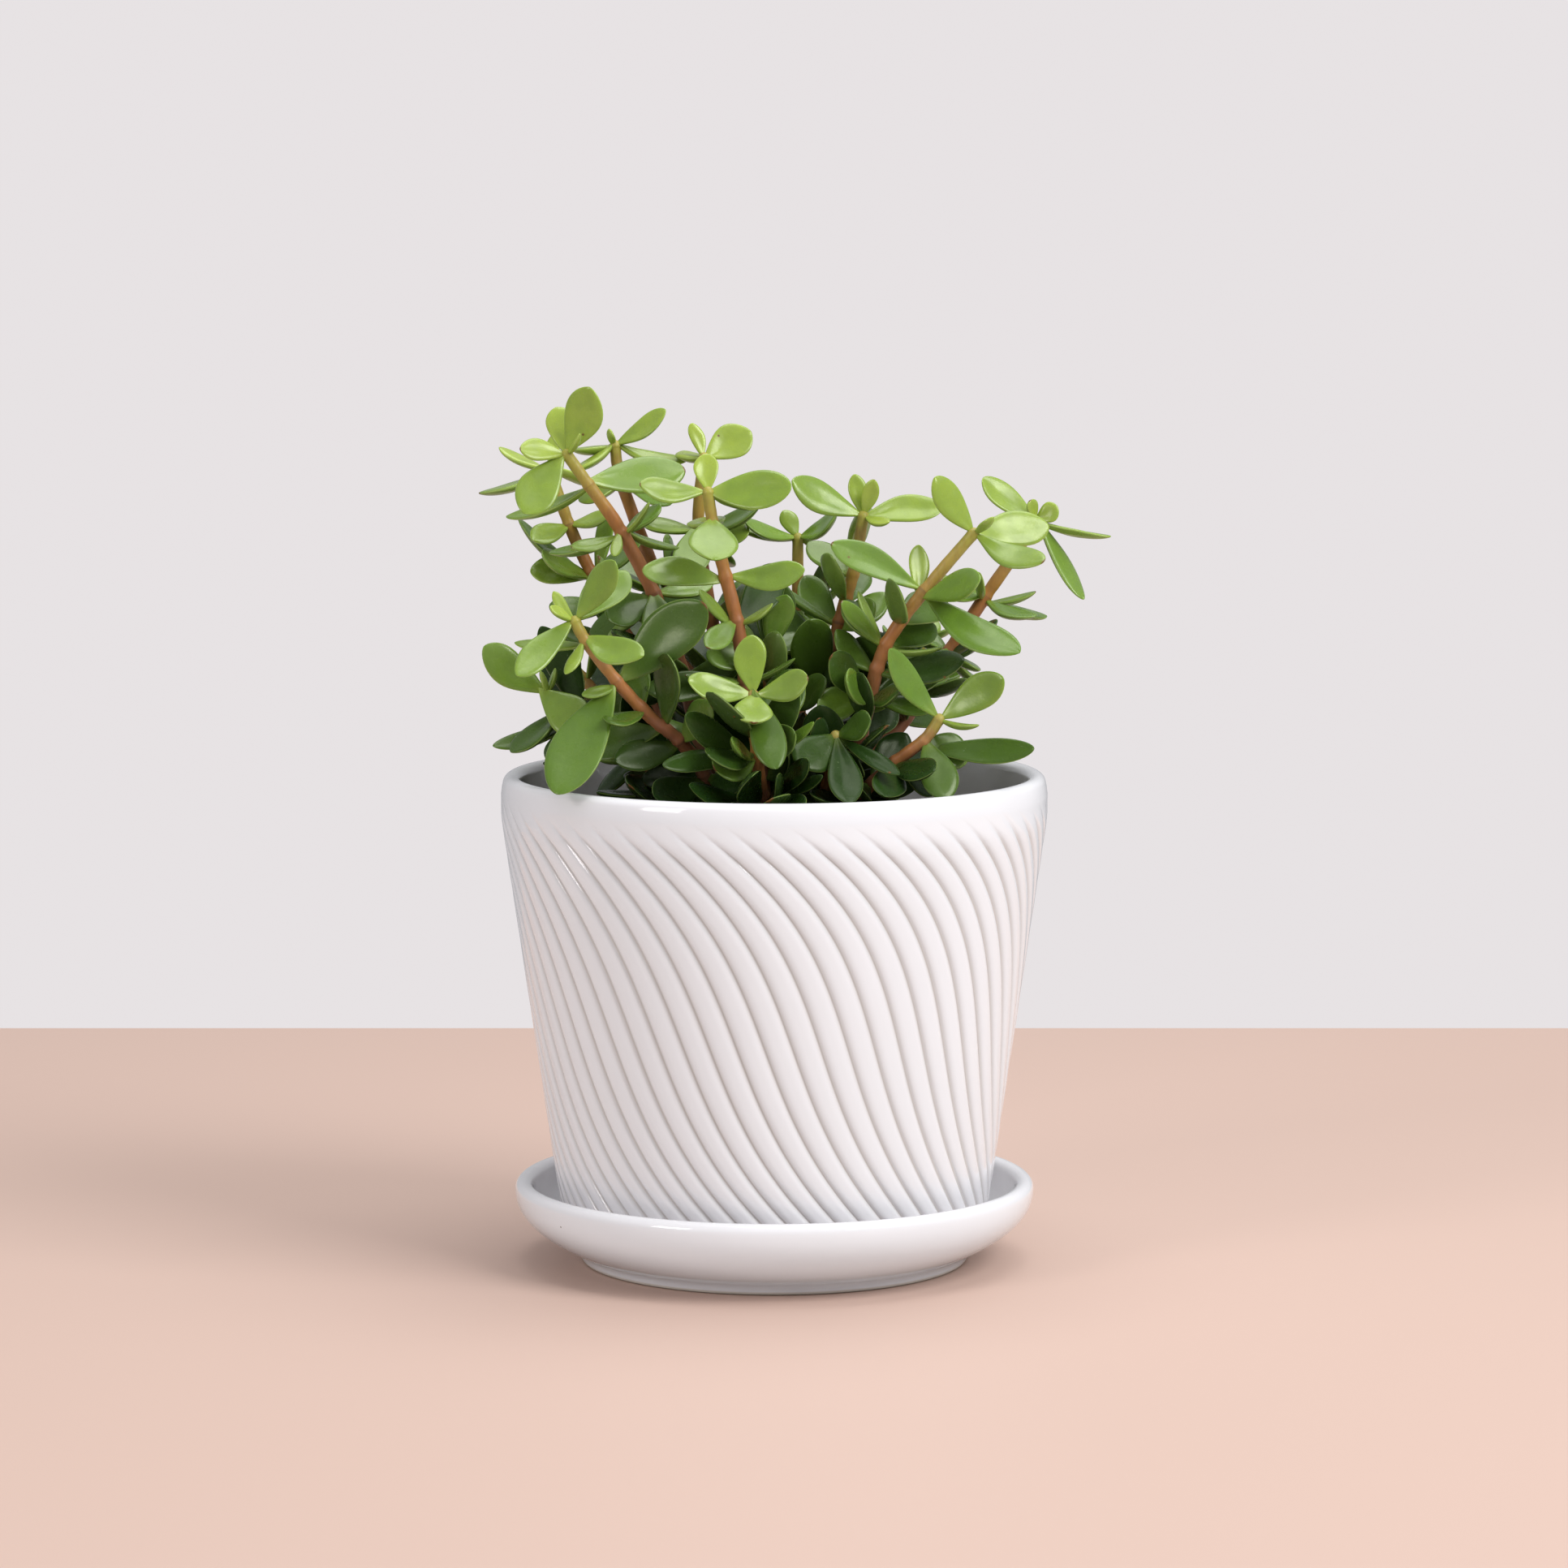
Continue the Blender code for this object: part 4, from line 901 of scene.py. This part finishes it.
class Leaf:
    """One leaf blade: its foot, its tip, its width, and the direction that its upper face looks in."""

    def __init__(self, foot, tip, width, growth, turn):
        self.foot, self.tip, self.width = foot, tip, width
        self.upward = growth.lerp(LIGHT_FROM.normalized(), turn)
        self.shade = 0.0

    def axes(self):
        """Its way from foot to tip, the direction across it, and the direction out of its upper face."""
        reach = self.tip - self.foot
        across = reach.cross(self.upward).normalized()
        return reach, across, across.cross(reach).normalized()

    def depth(self):
        """Half its thickness in the middle."""
        return (LEAF_SKIN + LEAF_SWELL * self.width) / 2

    def turned_by(self, sideways, upwards, size):
        reach, across, normal = self.axes()
        lift = Quaternion(across, math.radians(upwards))
        swing = Quaternion(normal, math.radians(sideways))
        moved = Leaf(self.foot, self.foot + (swing @ lift @ reach) * size, self.width * size, self.upward, 0)
        moved.upward = swing @ lift @ self.upward
        return moved

    def point(self, along, around, skin):
        """A point on a skin over the surface, along the leaf from 0 to 1, and round it in radians."""
        reach, across, normal = self.axes()
        middle = self.foot + reach * along + normal * (4 * LEAF_CURL * along * (1 - along) * reach.length)
        half_width = self.width / 2 * math.sin(math.pi * along ** 1.5) ** 0.6 + skin
        half_depth = self.depth() * (0.55 + 0.45 * math.sin(math.pi * along)) + skin
        return middle + across * (half_width * math.cos(around)) + normal * (half_depth * math.sin(around))

    def blade(self, skin):
        """The plain blade, thickened by a skin, as a ball drawn out from foot to tip."""
        shape = bmesh.new()
        bmesh.ops.create_uvsphere(shape, u_segments=6, v_segments=4, radius=1)
        for vertex in shape.verts:
            around = math.atan2(vertex.co.y, vertex.co.x)
            along = 0.5 + 0.5 * vertex.co.z
            pole = abs(vertex.co.z) > 0.999
            vertex.co = self.foot.lerp(self.tip, round(along)) if pole else self.point(along, around, skin)
        bmesh.ops.recalc_face_normals(shape, faces=shape.faces)
        return shape


class Space:
    """The space that a solid fills, with its box for a quick first test."""

    def __init__(self, shape, owner):
        self.tree = BVHTree.FromBMesh(shape)
        self.owner = owner
        places = [vertex.co for vertex in shape.verts]
        self.low = Vector(map(min, zip(*places)))
        self.high = Vector(map(max, zip(*places)))
        self.outer = self

    def meets(self, other):
        apart = any(self.high[i] < other.low[i] or other.high[i] < self.low[i] for i in range(3))
        return not apart and bool(self.tree.overlap(other.tree))


def leaf_space(leaf, owner, skin=0):
    """A leaf's space, and its outer part alone, which leaves of its group and its own branch keep clear of."""
    shape = leaf.blade(skin)
    space = Space(shape, owner)
    reach = leaf.tip - leaf.foot
    inner = [v for v in shape.verts if (v.co - leaf.foot).dot(reach) < 0.3 * reach.length_squared]
    bmesh.ops.delete(shape, geom=inner, context="VERTS")
    space.outer = Space(shape, owner)
    shape.free()
    return space


def turns_to_try(sizes, reaches):
    """Sideways and upward turns in degrees and a size, from the leaf as drawn to smaller, more turned ones."""
    for size in sizes:
        yield 0, 0, size
        for reach in reaches:
            for step in range(12):
                angle = math.radians(30 * step)
                yield reach * math.cos(angle), reach * math.sin(angle), size


def settled(leaf, group, branch, spaces, turns):
    """The leaf, turned aside as a growing leaf is until it clears everything, or None without room."""
    for sideways, upwards, size in turns:
        tried = leaf.turned_by(sideways, upwards, size)
        test = leaf_space(tried, group, LEAF_GAP)
        if not any((test.outer.meets(thing.outer) if thing.owner in (group, branch) else test.meets(thing))
                   for thing in spaces):
            return tried
    return None


def leaf_foot(branch, share, tip):
    """A leaf's start inside the branch, set back so that it comes out through the middle of its collar."""
    place, growth = branch.place(share), branch.direction(share)
    reach = tip - place
    outwards = (reach - growth * reach.dot(growth)).length
    setback = (branch.radius_at(share) + COLLAR_WALL) * reach.dot(growth) / outwards
    most = 0 if share == 1 else NODE_REACH / 2
    return place - growth * max(-NODE_REACH / 2, min(most, setback))


def paired_leaves(branch, share, length, lean, turn, count, to_light):
    """Leaves set round a branch in crossed pairs, every other one of four, or all four of them at a tip."""
    growth = branch.direction(share)
    side = growth.orthogonal().normalized()
    leaves = []
    for quarter in ((0, 1, 2, 3) if count == 4 else (0, 2)):
        around = Quaternion(growth, math.radians(90 * (quarter + turn) + 25)) @ side
        angle = math.radians(lean + (26 if quarter % 2 else 0))
        reach = (growth * math.cos(angle) + around * math.sin(angle)) * length * MM
        start = leaf_foot(branch, share, branch.place(share) + reach)
        leaves.append(Leaf(start, start + reach, PAIR_WIDTH * length * MM, growth, to_light))
    return leaves


def drawn_leaf(branch, share, x, y, z, width, turn):
    """The leaf that a row of a table gives."""
    tip = table_point((x, y, z))
    return Leaf(leaf_foot(branch, share, tip), tip, width * MM, branch.direction(share), turn)


def leaf_groups(branch):
    """The branch's leaf groups, from its table or by the rule of crossed pairs."""
    groups = []
    for index, rows in branch.table:
        share = branch.share(index)
        groups.append((share, [drawn_leaf(branch, share, *row) for row in rows]))
    if not branch.table:
        for number, (share, length, lean) in enumerate(CROSSED_PAIRS):
            leaves = paired_leaves(branch, share, length, lean, number, 2 if number else 4, PAIR_TURN)
            groups.append((share, leaves))
    return groups


def node_space(name):
    shape = bmesh.new()
    shape.from_mesh(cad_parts[name].data)
    bmesh.ops.remove_doubles(shape, verts=shape.verts, dist=0.000001)
    made = Space(shape, name)
    shape.free()
    return made


def grown_plant():
    """Every stem's foot and branches, and each leaf group as (name, branch, share, leaves)."""
    return kept("plant", grow_plant)


def grow_plant():
    """Grows the branches, then settles their leaves one by one into the free space."""
    spaces = [node_space("pot"), node_space("soil")]
    stems, groups = {}, []
    for stem, (foot, rows) in STEMS.items():
        stems[stem] = foot, [Branch(foot, *row) for row in rows]
    grown = [branch for _, branches in stems.values() for branch in branches]
    spaces += [branch.space() for branch in grown]
    for branch in grown:
        for number, (share, leaves) in enumerate(leaf_groups(branch), 1):
            name = f"leaves_{branch.name}_{number}"
            placed = []
            for leaf in leaves:
                placed.append(settled(leaf, name, branch.name, spaces, turns_to_try(*DRAWN_TRIES)) or leaf)
                spaces.append(leaf_space(placed[-1], name))
            groups.append((name, branch, share, placed))
            branch.nodes.append(share)
    add_hidden_leaves(grown, groups, spaces)
    return stems, groups


def add_hidden_leaves(grown, groups, spaces):
    """Adds the inner leaves, then fills bare stretches with crossed pairs wherever a leaf finds room."""

    def add(branch, share, leaf, tries):
        own = [group for group in groups if group[1] is branch]
        name, _, _, leaves = min(own, key=lambda group: abs(group[2] - share))
        found = settled(leaf, name, branch.name, spaces, turns_to_try(*tries))
        if found:
            found.shade = HIDDEN_SHADE
            leaves.append(found)
            spaces.append(leaf_space(found, name))
            branch.nodes.append(share)

    for branch in grown:
        for index, rows in INNER_LEAVES.get(branch.name, ()):
            for row in rows:
                add(branch, branch.share(index), drawn_leaf(branch, branch.share(index), *row), INNER_TRIES)
    spacing = bpy.context.scene.jade_plant.node_spacing
    floor, ceiling = (table_point((0, 0, height)).z for height in FILLER_HEIGHTS)
    number = 0
    for branch in grown:
        length = branch.length()
        steps = max(2, round(length / spacing))
        for step in range(1, steps):
            share = step / steps
            near = min(abs(share - node) for node in branch.nodes) * length
            if not floor < branch.place(share).z < ceiling or near < spacing * 0.55:
                continue
            number += 1
            size = 14 + 8 * math.sin(2.4 * number) ** 2
            for leaf in paired_leaves(branch, share, size, FILLER_LEAN, number % 2, 2, FILLER_TURN):
                add(branch, share, leaf, FILLER_TRIES)


# ---- Stems ----

STEM_SIDES = 18
STEM_STEP = 0.0006
TRUNK_ROOT = -0.008
TRUNK_RINGS = 14


def edges_among(ring):
    """The edges between the points of a ring."""
    inside = set(ring)
    return list(dict.fromkeys(edge for vertex in ring for edge in vertex.link_edges
                              if inside.issuperset(edge.verts)))


def add_tube(whole, rings):
    """Adds a closed round tube through rings of (place, direction, radius, mark) to a stem."""
    shape = bmesh.new()
    marks = shape.verts.layers.float_color.new("stem")
    ring = bmesh.ops.create_circle(shape, cap_ends=True, segments=STEM_SIDES, radius=1)["verts"]
    before, turn, heading = Matrix(), Quaternion(), UP
    for number, (place, direction, radius, mark) in enumerate(rings):
        turn = heading.rotation_difference(direction) @ turn
        heading = direction
        here = Matrix.LocRotScale(place, turn, Vector((radius, radius, radius)))
        if number:
            grown = bmesh.ops.extrude_edge_only(shape, edges=edges_among(ring))["geom"]
            ring = [item for item in grown if isinstance(item, bmesh.types.BMVert)]
        bmesh.ops.transform(shape, matrix=here @ before.inverted(), verts=ring)
        before = here
        for vertex in ring:
            vertex[marks] = mark
    bmesh.ops.contextual_create(shape, geom=edges_among(ring))
    mesh = mesh_of(shape, "tube")
    whole.from_mesh(mesh)
    bpy.data.meshes.remove(mesh)


def branch_rings(branch, seed):
    """The rings of a branch: a little swollen and dark at each node, rounded off at the tip."""
    length = branch.length()
    count = max(12, int(length / STEM_STEP))
    rings = []
    for step in range(count + 1):
        share = step / count
        node = min(abs(share - at) for at in branch.nodes) * length
        swell = math.exp(-(node / 0.0010) ** 2)
        above = min((abs(share - at) * length for at in branch.nodes if at < share), default=1)
        pinch = 0.06 * math.exp(-((above - 0.0022) / 0.0012) ** 2)
        wander = 0.03 * noise.noise(branch.place(share) * 400)
        radius = branch.radius_at(share) * (1 + 0.10 * swell - pinch + wander)
        nearest = min(range(len(branch.nodes)), key=lambda one: abs(share - branch.nodes[one]))
        ring = math.exp(-((node - 0.0004) / 0.00020) ** 2) * (1 if 0.02 < share < 0.985 else 0)
        ring *= 0.25 + 0.75 * math.sin(2.1 * nearest + 9 * seed) ** 2
        rings.append((branch.place(share), branch.direction(share), radius, (1 - share, ring, seed, 1)))
    tip, growth = branch.place(1), branch.direction(1)
    for lift in (0.35, 0.62, 0.85, 0.97):
        radius = branch.radius_at(1) * math.sqrt(1 - lift * lift)
        rings.append((tip + growth * branch.radius_at(1) * lift, growth, radius, (0, 0, seed, 1)))
    return rings


def trunk_rings(foot):
    """The short trunk, flared where it goes into the soil."""
    bottom, top = table_point((*foot, 0)), TRUNK_RISE + 0.003
    rings = []
    for step in range(TRUNK_RINGS + 1):
        height = TRUNK_ROOT + (top - TRUNK_ROOT) * step / TRUNK_RINGS
        radius = 0.0034 + 0.0016 * math.exp(-max(0, height) / 0.003)
        if step == TRUNK_RINGS:
            radius *= 0.55
        rings.append((bottom + UP * height, UP, radius, (1, 0, 0, 1)))
    return rings


class JADE_OT_stems(bpy.types.Operator):
    """Build the five branching stems, with their nodes and leaf scars"""

    bl_idname = "jade.stems"
    bl_label = "Stems"

    def execute(self, context):
        finish = green_bark(context.scene.jade_plant)
        stems, _ = grown_plant()
        for number, (stem, (foot, branches)) in enumerate(stems.items()):
            shape = bmesh.new()
            add_tube(shape, trunk_rings(foot))
            for place, branch in enumerate(branches):
                add_tube(shape, branch_rings(branch, (0.37 * number + 0.61 * place) % 1))
            bmesh.ops.recalc_face_normals(shape, faces=shape.faces)
            finished(shape, "shoots_" + stem.removeprefix("stem_"), finish, "green_bark", stem)
        return {"FINISHED"}


# ---- Leaves ----

LEAF_RINGS = 22
LEAF_SIDES = 20


def leaf_ball():
    """The ball that each blade is drawn out from."""
    shape = bmesh.new()
    bmesh.ops.create_uvsphere(shape, u_segments=LEAF_SIDES, v_segments=LEAF_RINGS, radius=1)
    return mesh_of(shape, "leaf_ball")


def add_blade(shape, marks, faces, leaf, age, chance):
    """A full leaf: fleshy, its margins lifted a little, lightly twisted, and channelled down its face."""
    made = merged_into(shape, kept("ball", leaf_ball))
    reach, across, normal = leaf.axes()
    size = reach.length
    bend = LEAF_CURL * chance.uniform(0.6, 1.3)
    cup = chance.uniform(0.03, 0.17)
    twist = math.radians(chance.uniform(-9, 9))
    belly = chance.uniform(1.4, 1.65)
    blunt = chance.uniform(0.54, 0.64)
    lean = chance.uniform(-0.05, 0.05)
    tint = chance.random()
    wave = Vector((chance.random(), chance.random(), chance.random())) * 50
    for vertex in made:
        x, y, z = vertex.co
        along = 0.5 + 0.5 * z
        out = math.hypot(x, y)
        side, face = (x / out, y / out) if out > 0.0001 else (0, 0)
        half_width = leaf.width / 2 * math.sin(math.pi * min(1, along) ** belly) ** blunt
        ends = max(0, 1 - (2 * along - 1) ** 6) ** 0.5
        depth = leaf.depth() * (0.55 + 0.45 * math.sin(math.pi * along)) * ends
        depth *= 1.2 if face > 0 else 1.5
        turn = Quaternion(reach.normalized(), twist * (along - 0.3))
        channel = 0.16 * depth * math.exp(-(side / 0.22) ** 2) * math.sin(math.pi * along) if face > 0 else 0
        ripple = 0.05 * noise.noise(Vector((side * 1.4, along * 3, 0)) + wave)
        lift = 4 * bend * along * (1 - along) * size
        lift += cup * leaf.width * side * side * math.sin(math.pi * along)
        sway = lean * size * math.sin(math.pi * along) ** 2
        middle = leaf.foot + reach * along
        rise = depth * face - channel + ripple * leaf.width * 0.5 + lift
        off = across * (half_width * side + sway) + normal * rise
        vertex.co = middle + turn @ off
        vertex[marks] = (along, abs(side), age, tint)
        vertex[faces] = (smoothstep(-face, -0.1, 0.3), 0, 0, 1)


def leaf_age_and_shade(leaf, share, low, high):
    """0 for a new leaf, 1 for an aged one, by its size and its place on the branch, plus painted shade for a
    leaf low in the plant and the leaf's own painted shade.
    """
    size = (leaf.tip - leaf.foot).length
    height = min(1, max(0, (leaf.foot.z - low) / (high - low)))
    # Painted shade: leaves low in the plant, and those sunk near the soil, are darkened where shade falls among
    # them.
    low_painted_shade = (1 - height) ** 2 * (1 - 0.5 * share)
    sunk_painted_shade = 1 - smoothstep((leaf.foot.z + leaf.tip.z) / 2 - low, 0.013, 0.026)
    worn = 0.36 * (1 - share) + 0.42 * smoothstep(size, 0.006, 0.030)
    return 0.04 + worn + 0.5 * low_painted_shade + 0.35 * sunk_painted_shade + leaf.shade


class JADE_OT_leaves(bpy.types.Operator):
    """Build every leaf group, from the new leaves at the tips to the dark ones low on the stems, darkened partly
    by age and partly by painted shade
    """

    bl_idname = "jade.leaves"
    bl_label = "Leaves"

    def execute(self, context):
        finish = jade_leaf(context.scene.jade_plant)
        _, groups = grown_plant()
        low, high = soil_top(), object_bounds()[1].z
        for name, branch, share, leaves in groups:
            chance = random.Random(name)
            shape = bmesh.new()
            marks = shape.verts.layers.float_color.new("leaf")
            faces = shape.verts.layers.float_color.new("face")
            for leaf in leaves:
                # Painted shade: the leaves of a shaded branch are darkened further.
                age = leaf_age_and_shade(leaf, share, low, high) + SHADED.get(branch.name, 0)
                age = min(1, max(0, age + chance.uniform(-0.09, 0.09)))
                add_blade(shape, marks, faces, leaf, age, chance)
            bmesh.ops.recalc_face_normals(shape, faces=shape.faces)
            finished(shape, "foliage_" + name.removeprefix("leaves_"), finish, "jade_leaf", name)
        return {"FINISHED"}


# ---- Stage ----

FLOOR_BACK = 0.34
LENS_WIDTH = 36.0
FOCAL_LENGTH = 129.41
CAMERA_PLACE = Vector((0.00225, -1.30247, 0.26209))
CAMERA_DROP = 0.115

# Each lamp: its place, its width, its share of the key light's power, and its tone.
LAMPS = {
    "key": ((1.0, -0.75, 1.10), 0.8, 1, (0.97, 0.98, 1.0)),
    "fill": ((-1.1, -1.0, 0.75), 0.45, 0.30, (1.0, 0.95, 0.95)),
    "top": ((0.15, 0.15, 1.3), 1.0, 0.55, (0.98, 0.99, 1.0)),
}
LAMPS_AIM = Vector((0, 0, 0.1))
AIR_TONE = (0.80, 0.81, 0.85)
AIR_STRENGTH = 0.50


class JADE_OT_stage(bpy.types.Operator):
    """Set up the pale floor, the soft light and the camera"""

    bl_idname = "jade.stage"
    bl_label = "Stage"

    def execute(self, context):
        settings = context.scene.jade_stage
        self.add_floor(settings)
        self.add_air(context, settings)
        for name, (place, width, power, tone) in LAMPS.items():
            self.add_lamp(name, Vector(place), width, settings.key * power, tone)
        self.add_camera(context)
        return {"FINISHED"}

    def add_floor(self, settings):
        shape = bmesh.new()
        bmesh.ops.create_cube(shape, size=1)
        bmesh.ops.scale(shape, vec=(4.0, 4.0, 0.03), verts=shape.verts)
        bmesh.ops.translate(shape, vec=(0, FLOOR_BACK - 2.0, -0.0151), verts=shape.verts)
        mesh = mesh_of(shape, "floor")
        mesh.materials.append(pale_floor(settings))
        floor = in_scene("floor", mesh)
        floor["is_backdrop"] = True

    def add_air(self, context, settings):
        """The air that shows behind the plant, and a dimmer one that lights it."""
        world = bpy.data.worlds.new("soft_air")
        world.use_nodes = True
        tree = world.node_tree
        seen, lit = tree.nodes["Background"], tree.nodes.new("ShaderNodeBackground")
        for node, tone, strength in ((seen, settings.air, 1), (lit, AIR_TONE, AIR_STRENGTH)):
            node.inputs["Color"].default_value = (*tone, 1)
            node.inputs["Strength"].default_value = strength
        path = tree.nodes.new("ShaderNodeLightPath")
        mix = tree.nodes.new("ShaderNodeMixShader")
        for number, output in enumerate((path.outputs["Is Camera Ray"], lit.outputs[0], seen.outputs[0])):
            tree.links.new(output, mix.inputs[number])
        tree.links.new(mix.outputs[0], tree.nodes["World Output"].inputs["Surface"])
        context.scene.world = world
        context.scene.view_settings.view_transform = "Standard"

    def add_lamp(self, name, place, width, power, tone):
        lamp = bpy.data.lights.new(name, "AREA")
        lamp.shape = "SQUARE"
        lamp.size = width
        lamp.energy = power
        lamp.color = tone
        held = in_scene(name, lamp)
        held.location = place
        held.rotation_euler = (LAMPS_AIM - place).to_track_quat("-Z", "Y").to_euler()

    def add_camera(self, context):
        lens = bpy.data.cameras.new("camera")
        lens.sensor_width = LENS_WIDTH
        lens.lens = FOCAL_LENGTH
        lens.clip_start, lens.clip_end = 0.01, 50
        held = in_scene("camera", lens)
        held.location = CAMERA_PLACE
        held.rotation_euler = (math.pi / 2 - CAMERA_DROP, 0, 0)
        context.scene.camera = held


# ---- Add-on ----

OPERATORS = (JADE_OT_stage, JADE_OT_saucer, JADE_OT_pot, JADE_OT_soil, JADE_OT_stems, JADE_OT_leaves)
SETTINGS = {"jade_pot": PotSettings, "jade_soil": SoilSettings, "jade_plant": PlantSettings,
            "jade_stage": StageSettings}


class JADE_PT_panel(bpy.types.Panel):
    """The jade plant's pieces, sizes and colours"""

    bl_idname = "JADE_PT_panel"
    bl_label = "Jade Plant"
    bl_space_type = "VIEW_3D"
    bl_region_type = "UI"
    bl_category = "Jade Plant"

    def draw(self, context):
        for operator in OPERATORS:
            self.layout.operator(operator.bl_idname)
        for name, group in SETTINGS.items():
            box = self.layout.box()
            for setting in group.__annotations__:
                box.prop(getattr(context.scene, name), setting)


def register():
    for group in SETTINGS.values():
        bpy.utils.register_class(group)
    for thing in (*OPERATORS, JADE_PT_panel):
        bpy.utils.register_class(thing)
    for name, group in SETTINGS.items():
        setattr(bpy.types.Scene, name, PointerProperty(type=group))


def unregister():
    for name in SETTINGS:
        delattr(bpy.types.Scene, name)
    for thing in (JADE_PT_panel, *reversed(OPERATORS), *reversed(SETTINGS.values())):
        bpy.utils.unregister_class(thing)


def main():
    register()
    bpy.ops.jade.stage()
    bpy.ops.jade.saucer()
    bpy.ops.jade.pot()
    bpy.ops.jade.soil()
    bpy.ops.jade.stems()
    bpy.ops.jade.leaves()


if __name__ == "__main__":
    main()
